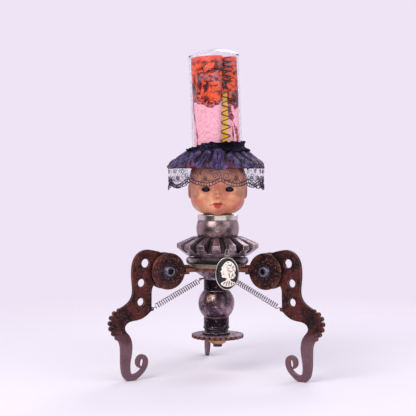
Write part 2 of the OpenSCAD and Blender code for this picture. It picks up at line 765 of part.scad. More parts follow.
module neck_plug() {
  room = 0.5;
  color([0.55, 0.42, 0.3]) difference() {
    ring(plug_r, pipe_r + run_fit, head_z, plug_t);
    on_post() translate([0, 0, head_z - 1]) cylinder(r = lock_nut_r + room, h = lock_nut_h + room + 1);
  }
}

// Jar frame: its foot stands on the crown disc, and its axis leans to the left
module in_jar_frame() {
  on_post() translate([0, 0, jar_z]) rotate([0, -jar_lean, 0]) children();
}

module crown_disc() {
  color([0.3, 0.2, 0.16]) difference() {
    on_post() translate([0, 0, crown_z]) cylinder(r = crown_r, h = crown_t * 2);
    in_jar_frame() translate([-crown_r * 2, -crown_r * 2, 0]) cube(crown_r * 4);
    on_post() translate([0, 0, crown_z - 1]) cylinder(r = pipe_r + run_fit, h = crown_t * 3);
  }
}

nut_h = 8;
nut_r = 9.8;
nut_washer_t = 1.6;
nut_z = jar_z + 0.8;
pipe_top_z = nut_z + nut_washer_t + nut_h + 2;

module top_nut() {
  color([0.6, 0.58, 0.55]) on_post() difference() {
    union() {
      translate([0, 0, nut_z]) cylinder(r = nut_r + 1, h = nut_washer_t);
      translate([0, 0, nut_z + nut_washer_t]) cylinder(r = nut_r, h = nut_h, $fn = 6);
    }
    translate([0, 0, nut_z - 1]) cylinder(r = fixed_bore, h = nut_h * 2);
  }
}

// Hat

cloth_gap = 0.3;
hat_band_r = jar_r + cloth_gap + hat_band_t;

module hat_band() {
  color([0.08, 0.07, 0.12]) in_jar_frame() difference() {
    cylinder(r = hat_band_r, h = hat_band_h);
    translate([0, 0, -1]) cylinder(r = jar_r + cloth_gap, h = hat_band_h + 2);
  }
}

// A closed skirt: each section is one place's points round the axis, as radius and height
module skirt(sections) {
  n = len(sections);
  m = len(sections[0]);
  points = [
    for (i = [0 : n - 1], q = sections[i]) [q[0] * cos(360 * i / n), q[0] * sin(360 * i / n), q[1]]
  ];
  faces = [
    for (i = [0 : n - 1], k = [0 : m - 1])
      let (
        a = i * m + k,
        b = i * m + (k + 1) % m,
        c = (i + 1) % n * m + k,
        d = (i + 1) % n * m + (k + 1) % m
      ) each [[a, b, c], [b, d, c]]
  ];
  polyhedron(points = points, faces = faces, convexity = 6);
}

// The ruffle hangs level, while the band leans with the jar
ruffle_root_h = 9;
ruffle_edge_h = ruffle_root_h - ruffle_drop;
SIDES_PER_FOLD = 4;

function ruffle_reach(a) = ruffle_r - ruffle_shift * cos(a);

// The cloth goes out from the band, turns over at its crest and falls to its edge
function ruffle_section(a) =
  let (
    fold = cos(ruffle_folds * a),
    root = [hat_band_r - 0.4 - ruffle_root_h * sin(jar_lean) * cos(a), ruffle_root_h],
    edge = [ruffle_reach(a) - 1 + fold, ruffle_edge_h + fold_h * fold],
    crest = [root[0] + (edge[0] - root[0]) * 0.75, ruffle_root_h - ruffle_drop * 0.45 + fold_h / 2 * fold],
    under = [0, ruffle_t]
  ) [root - under, crest - under, edge - under, edge, crest, root];

module satin_ruffle() {
  n = ruffle_folds * SIDES_PER_FOLD;
  color([0.17, 0.15, 0.28]) on_post() translate([0, 0, jar_z])
    skirt([for (i = [0 : n - 1]) ruffle_section(360 * i / n)]);
}

function lace_section(a) =
  let (
    side = lace_side_drop * pow(cos(a), 2),
    low = ruffle_edge_h - lace_drop - side - scallop_h * (1 - abs(cos(lace_scallops * a / 2))),
    top = ruffle_edge_h - ruffle_t / 2,
    r = ruffle_reach(a) - 1.6 + 0.6 * cos(lace_scallops * a)
  ) [[r - lace_t, low], [r, low], [r, top], [r - lace_t, top]];

module lace_trim() {
  n = lace_scallops * SIDES_PER_FOLD;
  color([0.1, 0.09, 0.15]) on_post() translate([0, 0, jar_z])
    skirt([for (i = [0 : n - 1]) lace_section(360 * i / n)]);
}

// Jar and what it holds

jar_inner_r = jar_r - jar_wall;
dome_r = (jar_r * jar_r + jar_dome * jar_dome) / (2 * jar_dome);
dome_z = jar_h - dome_r;
ARC_STEPS = 8;

// Points of the dome of radius r, from the jar's axis out to radius reach
function dome(r, reach) = [
  for (i = [0 : ARC_STEPS]) let (a = asin(reach / r) * i / ARC_STEPS) [r * sin(a), dome_z + r * cos(a)]
];
function reversed(p) = [for (i = [len(p) - 1 : -1 : 0]) p[i]];

module glass_jar() {
  lip = 0.8;
  color([0.9, 0.93, 0.95, 0.35]) in_jar_frame() rotate_extrude() polygon(concat(
    [[jar_inner_r, lip], [jar_inner_r + lip, 0], [jar_r - lip, 0], [jar_r, lip]],
    reversed(dome(dome_r, jar_r)),
    dome(dome_r - jar_end_t, jar_inner_r)
  ));
}

print_r = jar_inner_r - print_gap;
print_top_gap = 0.8;
contents_h = dome_z + sqrt(pow(dome_r - jar_end_t, 2) - print_r * print_r) - print_top_gap;
// The jar's spring stands in a groove of the print, which winds a little way round the jar
coil_gap = 0.9;
groove_r = coil_r + coil_gap;
coil_reach = print_r - coil_r + 0.6;
groove_turn = 21;
groove_start = -65.5;

module print_outline(inset) {
  difference() {
    circle(r = print_r - inset, $fn = 48);
    rotate([0, 0, groove_start]) hull() {
      translate([coil_reach, 0]) circle(r = groove_r + inset, $fn = 24);
      translate([coil_reach + groove_r * 2, 0]) circle(r = groove_r + inset, $fn = 24);
    }
  }
}

module print_roll() {
  color([0.86, 0.45, 0.4]) in_jar_frame()
    linear_extrude(height = contents_h, twist = -groove_turn, slices = 5) difference() {
      print_outline(0);
      print_outline(print_t);
    }
}

coil_mid_r = coil_r - coil_wire / 2;
coil_foot = coil_wire / 2;
coil_top = contents_h - coil_wire;
coil_turns = coil_wide_turns + coil_close_turns;
close_pitch = (coil_top - coil_foot) / (coil_close_turns + 1.9 * coil_wide_turns);
wide_pitch = close_pitch * 1.9;

// Height of the jar's spring after t turns: wide turns first, then close ones
function coil_climb(t) =
  coil_foot + wide_pitch * min(t, coil_wide_turns) + close_pitch * max(t - coil_wide_turns, 0);
function groove_centre(z) =
  let (a = groove_start + groove_turn * z / contents_h) [coil_reach * cos(a), coil_reach * sin(a), z];
function jar_coil_points() = [
  for (i = [0 : coil_turns * RINGS_PER_TURN])
    let (t = i / RINGS_PER_TURN, z = coil_climb(t))
      groove_centre(z) + [coil_mid_r * cos(360 * t), coil_mid_r * sin(360 * t), 0]
];

echo(jar_spring_gap = least_gap(jar_coil_points(), coil_wire));

module jar_spring() {
  p = jar_coil_points();
  n = len(p);
  lead = coil_wire;
  start = [p[0] + [0, -lead, -0.05]];
  finish = [p[n - 1] + [0, lead, 0.05]];
  color([0.75, 0.68, 0.5]) in_jar_frame()
    tube(concat(start, p, finish), coil_wire / 2, [for (i = [0 : n + 1]) [0, 0, 1]]);
}

// Cameo pendant, which hangs in front of the gear's rim

pendant_y = -gear_r - pendant_stand_off;
wire_eye_r = 1.4;
wire_eye_z = gear_z + 13.6;
bail_top_z = wire_eye_z - wire_eye_r + 2 * wire_r + 0.1;
bail_drop = 8;
bail_low_z = bail_top_z - bail_drop;
loop_r = 1.5;
loop_wire_r = 0.5;
loop_z = bail_low_z + wire_r + 0.1 + loop_wire_r - loop_r;
pendant_z = loop_z - loop_r - pendant_b + 0.2;

module at_pendant(z) {
  on_post() translate([pendant_x, pendant_y, z]) children();
}

// A ring of wire that faces along X
module wire_ring(r, w) {
  rotate([0, 90, 0]) rotate_extrude($fn = 32) translate([r, 0]) circle(r = w, $fn = 16);
}

// The wire goes once round the neck, drops over the gear's rim and ends in an eye
neck_wire_z = barrel_z + wire_r + 0.2;
neck_wire_r = barrel_r + barrel_swell * 0.25 + wire_r + 0.1;
gear_lip_z = gear_z + gear_rim_z + gear_rim_h;
NECK_STEPS = 30;
EYE_STEPS = 12;

function wire_path() = concat(
  [
    for (i = [0 : NECK_STEPS])
      let (a = 284 + 352 * i / NECK_STEPS) [neck_wire_r * cos(a), neck_wire_r * sin(a), neck_wire_z]
  ],
  [
    [pendant_x * 0.5, -neck_wire_r - wire_r * 3, neck_wire_z + wire_r * 1.5],
    [pendant_x * 0.6, -gear_top_r - wire_r * 2.5, barrel_z + wire_r * 2],
    [
      pendant_x * 0.75,
      -(gear_top_r + gear_r) / 2 - wire_r * 2.5,
      (barrel_z + gear_lip_z) / 2 + wire_r * 2.5
    ],
    [pendant_x * 0.95, pendant_y + wire_r * 3, gear_lip_z + wire_r * 2.5],
    [pendant_x - 0.1, pendant_y, gear_lip_z - wire_r * 2.5]
  ],
  [
    for (i = [0 : EYE_STEPS])
      let (a = 90 + 345 * i / EYE_STEPS)
        [pendant_x + 0.5 - i / EYE_STEPS, pendant_y + wire_eye_r * cos(a), wire_eye_z + wire_eye_r * sin(a)]
  ]
);

module pendant_wire() {
  p = wire_path();
  bends = [for (i = [0 : len(p) - 1]) i <= NECK_STEPS ? [0, 0, 1] : [1, 0.1, 0.1]];
  color([0.62, 0.55, 0.48]) on_post() tube(p, wire_r, bends);
}

module pendant_bail() {
  half_top = 1.5;
  half_low = 3;
  mid = (bail_top_z + bail_low_z) / 2;
  corners = [
    [-half_top, 0, bail_top_z - 0.4], [-half_top / 2, 0, bail_top_z], [half_top / 2, 0, bail_top_z],
    [half_top, 0, bail_top_z - 0.4], [(half_top + half_low) / 2, 0, mid], [half_low, 0, bail_low_z + 0.4],
    [half_low / 2, 0, bail_low_z], [-half_low / 2, 0, bail_low_z], [-half_low, 0, bail_low_z + 0.4],
    [-(half_top + half_low) / 2, 0, mid]
  ];
  color([0.7, 0.66, 0.62]) at_pendant(0) closed_tube(closed_curve(corners, 2), wire_r, [0, 1, 0]);
}

module pendant_slab(y0, t) {
  at_pendant(pendant_z) translate([0, y0, 0]) rotate([90, 0, 0]) linear_extrude(height = t) children();
}

module pendant_bezel() {
  color([0.74, 0.7, 0.68]) {
    difference() {
      pendant_slab(bezel_t / 2, bezel_t) polygon(oval(pendant_a, pendant_b, 64));
      pendant_slab(-bezel_t / 2 + cameo_recess, cameo_recess + 1)
        polygon(oval(pendant_a - bezel_rim, pendant_b - bezel_rim, 64));
    }
    at_pendant(loop_z) wire_ring(loop_r, loop_wire_r);
  }
}

ground_y = -bezel_t / 2 + cameo_recess;
cameo_gap = 0.1;

module cameo_ground() {
  inset = bezel_rim + cameo_gap;
  color([0.06, 0.05, 0.08]) pendant_slab(ground_y, ground_t)
    polygon(oval(pendant_a - inset, pendant_b - inset, 64));
}

// The relief is a bust in profile, drawn in shares of the pendant's half width and half height
BUST = [
  [-0.3, 0.52], [-0.1, 0.68], [0.16, 0.74], [0.42, 0.66], [0.6, 0.5], [0.7, 0.28], [0.62, 0.06],
  [0.66, -0.12], [0.5, -0.26], [0.3, -0.3], [0.34, -0.44], [0.62, -0.52], [0.68, -0.6], [0.4, -0.74],
  [0, -0.8], [-0.4, -0.72], [-0.52, -0.58], [-0.3, -0.48], [-0.1, -0.4], [-0.12, -0.26],
  [-0.36, -0.24], [-0.46, -0.16], [-0.42, -0.08], [-0.5, -0.02], [-0.44, 0.04], [-0.56, 0.12],
  [-0.44, 0.24], [-0.46, 0.38]
];

module cameo_relief() {
  color([0.93, 0.89, 0.84]) pendant_slab(ground_y - ground_t, relief_t)
    polygon([for (p = closed_curve(BUST, 2)) [p[0] * pendant_a, p[1] * pendant_b]]);
}

end_nut();
brass_cap();
sprocket();
turned_post();
fluted_collar();
hub_plate();
tin_lid();
ribbed_disc();
lobed_spacer();
bevel_gear();
neck_barrel();
neck_band();
lock_nut();
centre_pipe();
top_nut();
pendant_wire();
front_disc(LEFT);  // front_disc_left
front_disc(RIGHT);  // front_disc_right
front_disc(BACK);  // front_disc_back
back_disc(LEFT);  // back_disc_left
back_disc(RIGHT);  // back_disc_right
back_disc(BACK);  // back_disc_back
spacer(LEFT);  // spacer_left
spacer(RIGHT);  // spacer_right
spacer(BACK);  // spacer_back
shoulder_pipe(LEFT);  // shoulder_pipe_left
shoulder_pipe(RIGHT);  // shoulder_pipe_right
shoulder_pipe(BACK);  // shoulder_pipe_back
cone_nuts(LEFT);  // cone_nuts_left
cone_nuts(RIGHT);  // cone_nuts_right
cone_nuts(BACK);  // cone_nuts_back
leg(LEFT);  // leg_left
leg(RIGHT);  // leg_right
leg(BACK);  // leg_back
leg_spring(LEFT);  // spring_left
leg_spring(RIGHT);  // spring_right
leg_spring(BACK);  // spring_back
neck_plug();
doll_head();
doll_eyes();
crown_disc();
hat_band();
satin_ruffle();
lace_trim();
print_roll();
jar_spring();
glass_jar();
pendant_bail();
pendant_bezel();
cameo_ground();
cameo_relief();
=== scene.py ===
"""Looks of the fortune teller figure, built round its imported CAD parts. All lengths are in metres."""
import json
import math

import bmesh
import bpy
import numpy as np
from mathutils import Matrix, Vector

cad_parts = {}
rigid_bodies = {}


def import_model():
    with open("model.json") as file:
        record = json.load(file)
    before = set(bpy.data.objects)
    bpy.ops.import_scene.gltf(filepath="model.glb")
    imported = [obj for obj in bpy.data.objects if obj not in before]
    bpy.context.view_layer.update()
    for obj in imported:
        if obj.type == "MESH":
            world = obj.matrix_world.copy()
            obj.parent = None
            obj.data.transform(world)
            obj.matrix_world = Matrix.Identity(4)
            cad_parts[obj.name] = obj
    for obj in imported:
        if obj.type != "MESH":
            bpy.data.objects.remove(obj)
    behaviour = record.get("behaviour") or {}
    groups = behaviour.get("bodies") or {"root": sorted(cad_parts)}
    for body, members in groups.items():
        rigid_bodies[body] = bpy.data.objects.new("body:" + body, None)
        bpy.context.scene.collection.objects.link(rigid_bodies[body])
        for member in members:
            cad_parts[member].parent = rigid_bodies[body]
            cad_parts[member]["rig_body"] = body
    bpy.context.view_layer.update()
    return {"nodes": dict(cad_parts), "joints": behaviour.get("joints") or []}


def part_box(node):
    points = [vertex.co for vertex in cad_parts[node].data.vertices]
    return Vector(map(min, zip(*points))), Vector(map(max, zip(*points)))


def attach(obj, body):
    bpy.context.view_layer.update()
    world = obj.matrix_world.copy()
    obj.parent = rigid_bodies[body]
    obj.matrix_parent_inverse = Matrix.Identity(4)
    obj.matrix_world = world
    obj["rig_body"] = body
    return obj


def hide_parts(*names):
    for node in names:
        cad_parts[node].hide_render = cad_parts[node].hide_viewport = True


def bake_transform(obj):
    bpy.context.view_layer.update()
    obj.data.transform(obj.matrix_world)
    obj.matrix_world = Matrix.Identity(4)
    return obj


MM = 0.001
TURN = 2 * math.pi

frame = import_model()
NODES = frame["nodes"]


# Places taken from the frame

def middle(node):
    low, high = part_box(node)
    return (low + high) / 2


def joint(name):
    return next(j for j in frame["joints"] if j["name"] == name)


AXIS = Vector((middle("centre_pipe").x, middle("centre_pipe").y, 0))
CHIN_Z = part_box("doll_head")[0].z
CROWN_TOP_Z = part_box("doll_head")[1].z + 7 * MM
LEAN = -math.asin(joint("jar_lift")["axis"][0])
IN_JAR = Matrix.Translation(AXIS + Vector((0, 0, CROWN_TOP_Z))) @ Matrix.Rotation(-LEAN, 4, "Y")
LEG_NAMES = ("left", "right", "back")


def leg_frame(leg):
    """A leg's own frame: X runs out from the post along the leg, and Z is up"""
    x, y, _ = joint(f"leg_{leg}_swing")["axis"]
    return Matrix.Translation(AXIS) @ Matrix.Rotation(math.atan2(x, -y), 4, "Z")


# Node trees

class Net:
    """Adds nodes to a material or a node group; a socket passed as a value is linked"""

    def __init__(self, tree):
        self.tree = tree

    def set(self, socket, value):
        if isinstance(value, bpy.types.NodeSocket):
            self.tree.links.new(value, socket)
        else:
            socket.default_value = value

    def node(self, kind, inputs=None, **settings):
        made = self.tree.nodes.new(kind)
        for key, value in settings.items():
            setattr(made, key, value)
        for key, value in (inputs or {}).items():
            self.set(made.inputs[key], value)
        return made

    def fill(self, sockets, **values):
        """Sets or links sockets, which are named in words joined by _"""
        for key, value in values.items():
            self.set(sockets[key.replace("_", " ")], value)

    def math(self, operation, a, b=0.0, clamp=False):
        return self.node("ShaderNodeMath", {0: a, 1: b}, operation=operation, use_clamp=clamp).outputs[0]

    def times(self, a, b):
        return self.math("MULTIPLY", a, b)

    def plus(self, a, b):
        return self.math("ADD", a, b)

    def minus(self, a, b):
        return self.math("SUBTRACT", a, b)

    def most(self, a, b):
        return self.math("MAXIMUM", a, b)

    def vector(self, operation, a, b):
        return self.node("ShaderNodeVectorMath", {0: a, 1: b}, operation=operation).outputs[0]

    def mix(self, factor, a, b, blend="MIX"):
        """A colour that goes from a to b"""
        keys = {0: factor, 6: a, 7: b}
        return self.node("ShaderNodeMix", keys, data_type="RGBA", blend_type=blend).outputs[2]

    def over(self, under, mask, amount, colour):
        """Lays a colour over another where the mask is, by this amount at most"""
        return self.mix(self.times(mask, amount), under, colour)

    def blend(self, factor, a, b):
        """A value that goes from a to b"""
        return self.node("ShaderNodeMix", {0: factor, 2: a, 3: b}, data_type="FLOAT").outputs[0]

    def span(self, value, low, high):
        """From 0 to 1, smoothly, as the value goes from low to high"""
        keys = {"Value": value, "From Min": low, "From Max": high}
        return self.node("ShaderNodeMapRange", keys, interpolation_type="SMOOTHSTEP").outputs[0]

    def ramp(self, value, stops):
        made = self.node("ShaderNodeValToRGB", {"Fac": value})
        elements = made.color_ramp.elements
        while len(elements) < len(stops):
            elements.new(1.0)
        for element, (place, colour) in zip(elements, stops):
            element.position = place
            element.color = colour
        return made.outputs[0]

    def noise(self, vector, scale, detail=3.0, roughness=0.55, out=0):
        keys = {"Vector": vector, "Scale": scale, "Detail": detail, "Roughness": roughness}
        return self.node("ShaderNodeTexNoise", keys).outputs[out]

    def cells(self, vector, scale, feature="F1", out=0):
        keys = {"Vector": vector, "Scale": scale}
        return self.node("ShaderNodeTexVoronoi", keys, feature=feature).outputs[out]

    def place(self, vector, location=(0, 0, 0), rotation=(0, 0, 0), scale=(1, 1, 1)):
        keys = {"Vector": vector, "Location": location, "Rotation": rotation, "Scale": scale}
        return self.node("ShaderNodeMapping", keys).outputs[0]

    def axes(self, vector):
        return self.node("ShaderNodeSeparateXYZ", {0: vector}).outputs

    def object_place(self):
        return self.node("ShaderNodeTexCoord").outputs["Object"]

    def uv(self):
        return self.node("ShaderNodeUVMap", uv_map="flat").outputs[0]

    def group(self, tree, **inputs):
        made = self.node("ShaderNodeGroup", node_tree=tree)
        self.fill(made.inputs, **inputs)
        return made.outputs

    def spot(self, vector, centre, radii, inner, outer):
        """A soft spot: 1 up to the inner share of the ellipsoid's radii, and 0 past the outer one"""
        away = self.vector("SUBTRACT", vector, tuple(centre))
        away = self.vector("DIVIDE", away, tuple(radii))
        length = self.node("ShaderNodeVectorMath", {0: away}, operation="LENGTH").outputs["Value"]
        return self.span(length, outer, inner)

    def bump(self, height, distance, strength, normal=None):
        keys = {"Height": height, "Distance": distance, "Strength": strength}
        if normal is not None:
            keys["Normal"] = normal
        return self.node("ShaderNodeBump", keys).outputs[0]


def rgb(red, green, blue):
    """A colour written as it is seen, from 0 to 255, as the shaders take it"""
    shares = (red / 255, green / 255, blue / 255)
    return (*(s / 12.92 if s <= 0.04045 else ((s + 0.055) / 1.055) ** 2.4 for s in shares), 1.0)


def darker(colour, share):
    return (*(c * share for c in colour[:3]), 1.0)


def new_group(name, inputs, outputs):
    """A shader node group; inputs are (name, socket type, default)"""
    tree = bpy.data.node_groups.new(name, "ShaderNodeTree")
    for label, kind, default in inputs:
        socket = tree.interface.new_socket(label, in_out="INPUT", socket_type=kind)
        if default is not None:
            socket.default_value = default
    for label, kind in outputs:
        tree.interface.new_socket(label, in_out="OUTPUT", socket_type=kind)
    net = Net(tree)
    return tree, net, net.node("NodeGroupInput").outputs, net.node("NodeGroupOutput").inputs


FLOAT, VECTOR = "NodeSocketFloat", "NodeSocketVector"


def make_edge_group():
    """Masks of edges, painted bright for wear and as painted highlights, and of corners, which get painted
    shade and dirt; found with a rounded normal and with ambient occlusion
    """
    tree, net, given, out = new_group(
        "edge wear, highlights and corner shade",
        [("Width", FLOAT, 0.8 * MM), ("Reach", FLOAT, 4 * MM), ("Place", VECTOR, None)],
        [("Edge", FLOAT), ("Corner", FLOAT), ("Normal", VECTOR)],
    )
    bevel = net.node("ShaderNodeBevel", {"Radius": given["Width"]}, samples=4)
    flat = net.node("ShaderNodeNewGeometry").outputs["Normal"]
    turn = net.node("ShaderNodeVectorMath", {0: bevel.outputs[0], 1: flat}, operation="DOT_PRODUCT")
    open_sky = net.node("ShaderNodeAmbientOcclusion", {"Distance": given["Reach"]}, samples=4).outputs["AO"]
    edge = net.span(turn.outputs["Value"], 0.995, 0.86)
    broken = net.span(net.noise(given["Place"], 260.0, 3.0), 0.36, 0.6)
    edge = net.times(edge, net.span(open_sky, 0.5, 0.85))
    net.set(out["Edge"], net.times(edge, net.blend(broken, 0.35, 1.0)))
    net.set(out["Corner"], net.span(open_sky, 0.82, 0.34))
    net.set(out["Normal"], bevel.outputs[0])
    return tree


def make_patch_group():
    """Uneven patches, such as rust or tarnish, with a finer pattern inside them"""
    tree, net, given, out = new_group(
        "patches",
        [("Place", VECTOR, None), ("Scale", FLOAT, 40.0), ("Amount", FLOAT, 0.5), ("Softness", FLOAT, 0.12)],
        [("Mask", FLOAT), ("Detail", FLOAT)],
    )
    coarse = net.noise(given["Place"], given["Scale"], 5.0, 0.62)
    fine = net.noise(given["Place"], net.times(given["Scale"], 6.0), 4.0, 0.7)
    level = net.minus(0.85, net.times(given["Amount"], 0.7))
    mixed = net.plus(net.times(coarse, 0.75), net.times(fine, 0.25))
    low = net.minus(level, given["Softness"])
    high = net.plus(level, given["Softness"])
    net.set(out["Mask"], net.span(mixed, low, high))
    net.set(out["Detail"], fine)
    return tree


def make_scratch_group():
    """Fine scratches that run two ways"""
    tree, net, given, out = new_group(
        "scratches", [("Place", VECTOR, None), ("Scale", FLOAT, 60.0)], [("Mask", FLOAT)]
    )
    total = None
    for turn, stretch in ((0.5, (1, 14, 3)), (-0.9, (12, 1, 2)), (1.9, (2, 1, 16))):
        placed = net.place(given["Place"], rotation=(turn, turn * 0.7, turn), scale=stretch)
        line = net.span(net.noise(placed, given["Scale"], 2.0), 0.66, 0.74)
        total = line if total is None else net.most(total, line)
    net.set(out["Mask"], total)
    return tree


def make_grain_group():
    """The height of a cast or painted surface: pits and fine grain"""
    tree, net, given, out = new_group(
        "grain",
        [("Place", VECTOR, None), ("Scale", FLOAT, 400.0), ("Pits", FLOAT, 0.5)],
        [("Height", FLOAT)],
    )
    fine = net.noise(given["Place"], given["Scale"], 4.0, 0.6)
    pits = net.span(net.noise(given["Place"], net.times(given["Scale"], 0.45), 2.0), 0.3, 0.42)
    depth = net.times(net.minus(1.0, pits), given["Pits"])
    net.set(out["Height"], net.minus(fine, depth))
    return tree


EDGES = make_edge_group()
PATCHES = make_patch_group()
SCRATCHES = make_scratch_group()
GRAIN = make_grain_group()


# Materials

def bare_material(name):
    """A material with an empty node tree"""
    material = bpy.data.materials.new(name)
    material.use_nodes = True
    material.node_tree.nodes.clear()
    return material, Net(material.node_tree)


def new_material(name):
    """A material, its net, and the inputs of its Principled shader"""
    material, net = bare_material(name)
    shader = net.node("ShaderNodeBsdfPrincipled")
    net.node("ShaderNodeOutputMaterial", {"Surface": shader.outputs[0]})
    return material, net, shader.inputs


def old_metal(name, colours, stain_amount, rust_amount, gloss, scale, metal, grit,
              edge=0.8 * MM, dirt_and_shade=0.7, scratch=0.5, reach=4 * MM, shade=None):
    """Aged metal, with the colours of its base, stains, rust and bright edges, for wear and as painted
    highlights; painted shade darkens its corners, and dirt dulls them
    """
    material, net, shader = new_material(name)
    base, stain, rust, bright = (rgb(*colour) for colour in colours)
    place = net.object_place()
    edges = net.group(EDGES, Width=edge, Reach=reach, Place=place)
    stains = net.group(PATCHES, Place=place, Scale=scale, Amount=stain_amount)
    moved = net.place(place, location=(0.31, 0.17, 0.23))
    rusts = net.group(PATCHES, Place=moved, Scale=scale * 1.6, Amount=rust_amount, Softness=0.07)
    lines = net.group(SCRATCHES, Place=place, Scale=scale * 1.5)["Mask"]
    grain = net.group(GRAIN, Place=place, Scale=scale * 12, Pits=0.6)["Height"]
    specks = net.span(net.noise(place, 620.0, 1.0), 0.66, 0.74)
    colour = net.mix(stains["Mask"], base, stain)
    colour = net.over(colour, lines, scratch, bright)
    colour = net.mix(rusts["Mask"], colour, net.mix(rusts["Detail"], rust, darker(rust, 0.35)))
    if shade:
        colour = shade(net, place, colour)
    colour = net.over(colour, specks, 0.5, bright)
    # Edges painted bright, for wear and as painted highlights
    colour = net.over(colour, edges["Edge"], 0.9, bright)
    # Painted shade darkens the corners
    dark = net.minus(1.0, net.times(edges["Corner"], dirt_and_shade))
    grey = net.node("ShaderNodeCombineColor", {0: dark, 1: dark, 2: dark}).outputs[0]
    colour = net.mix(1.0, colour, grey, "MULTIPLY")
    dull = net.math("MAXIMUM", rusts["Mask"], net.times(edges["Corner"], 0.8), clamp=True)
    rough = net.blend(stains["Detail"], *gloss)
    height = net.plus(grain, net.times(rusts["Mask"], net.times(rusts["Detail"], 1.6)))
    height = net.minus(height, net.times(lines, 0.5))
    net.fill(shader, Base_Color=colour, Roughness=net.blend(dull, rough, 0.8),
             Metallic=net.blend(dull, metal, 0.15),
             Normal=net.bump(height, 0.25 * MM, grit, edges["Normal"]))
    return material


# From where to where the post's ball is rubbed pale
POST_BALL_Z = (79 * MM, 114 * MM)


def post_shade(net, place, colour):
    """The post is near black but for its ball, which is rubbed pale, with a painted beige highlight on its
    upper left
    """
    low, high = POST_BALL_Z
    z = net.plus(net.axes(place)[2], net.times(net.noise(place, 60.0), 8 * MM))
    ball = net.times(net.span(z, low, low + 6 * MM), net.span(z, high + 6 * MM, high - 1 * MM))
    colour = net.mix(net.minus(1.0, ball), colour, rgb(36, 25, 32))
    # A painted beige highlight on the ball's upper left, broken up by noise
    centre = AXIS + Vector((-9 * MM, -16 * MM, 104 * MM))
    beige_highlight = net.spot(place, centre, (14 * MM, 16 * MM, 9 * MM), 0.1, 1.0)
    beige_highlight = net.times(beige_highlight, net.span(net.noise(place, 120.0, 4.0), 0.36, 0.52))
    return net.over(colour, beige_highlight, 0.9, rgb(206, 172, 146))


def sprocket_shade(net, place, colour):
    """Faces of the sprocket that look up are coloured a pale lilac grey in patches, and its rim keeps its
    rust
    """
    up = net.axes(net.node("ShaderNodeNewGeometry").outputs["Normal"])[2]
    pale_patches = net.span(net.noise(place, 90.0, 4.0), 0.3, 0.62)
    top = net.times(net.span(up, 0.6, 0.9), pale_patches)
    pale = net.mix(net.noise(place, 240.0, 3.0), rgb(196, 178, 198), rgb(140, 116, 134))
    return net.over(colour, top, 0.85, pale)


def disc_shade(net, place, colour):
    """The big discs stay dark round their nuts, with a painted copper highlight in patches towards their
    rims
    """
    inside = 0.0
    for leg in LEG_NAMES:
        spot = net.spot(place, middle(f"front_disc_{leg}"), (25 * MM, 25 * MM, 25 * MM), 0.5, 1.02)
        inside = net.most(inside, spot)
    # A painted copper highlight in patches towards the rims
    rim = net.times(net.minus(1.0, inside), net.span(net.noise(place, 85.0, 4.0), 0.34, 0.6))
    return net.over(colour, rim, 0.6, rgb(124, 66, 60))


def spring_shade(net, place, colour):
    """The leg springs are dark outside, and the inner side of each turn is painted pale, a painted
    reflection of the pale room behind
    """
    inner = net.node("ShaderNodeAttribute", attribute_name="inner").outputs["Fac"]
    return net.over(colour, inner, 0.9, rgb(232, 224, 236))


def scroll_plate_material():
    """Torch-cut plate: dark purplish rust above, smoother grey shins below, and a painted copper highlight
    along its edges
    """
    material, net, shader = new_material("scroll plate")
    place = net.object_place()
    edges = net.group(EDGES, Width=1.3 * MM, Reach=3 * MM, Place=place)
    patches = net.group(PATCHES, Place=place, Scale=44.0, Amount=0.5, Softness=0.07)
    moved = net.place(place, location=(0.2, 0.4, 0.1))
    blotches = net.group(PATCHES, Place=moved, Scale=110.0, Amount=0.42, Softness=0.05)
    grain = net.group(GRAIN, Place=place, Scale=620.0, Pits=0.8)["Height"]
    lines = net.group(SCRATCHES, Place=place, Scale=70.0)["Mask"]
    specks = net.span(net.noise(place, 560.0, 1.0), 0.64, 0.72)
    height_up = net.plus(net.axes(place)[2], net.times(net.noise(place, 30.0), 30 * MM))
    shin = net.span(height_up, 84 * MM, 62 * MM)
    colour = net.mix(patches["Mask"], rgb(34, 16, 20), rgb(78, 28, 25))
    colour = net.mix(blotches["Mask"], colour, rgb(18, 8, 13))
    shin_colour = net.mix(net.noise(place, 150.0, 4.0), rgb(96, 68, 78), rgb(124, 94, 106))
    colour = net.over(colour, shin, 0.85, shin_colour)
    colour = net.over(colour, lines, 0.3, rgb(160, 112, 100))
    colour = net.over(colour, specks, 0.3, rgb(176, 130, 122))
    # A painted copper highlight along the edges
    colour = net.over(colour, edges["Edge"], 0.8, rgb(196, 118, 92))
    rough = net.blend(blotches["Detail"], 0.34, 0.66)
    height = net.plus(grain, net.times(patches["Detail"], 1.3))
    net.fill(shader, Base_Color=colour, Roughness=net.blend(shin, rough, 0.5),
             Metallic=net.blend(patches["Mask"], 0.35, 0.1), Specular_IOR_Level=0.22,
             Normal=net.bump(height, 0.5 * MM, net.blend(shin, 0.7, 0.25), edges["Normal"]))
    return material


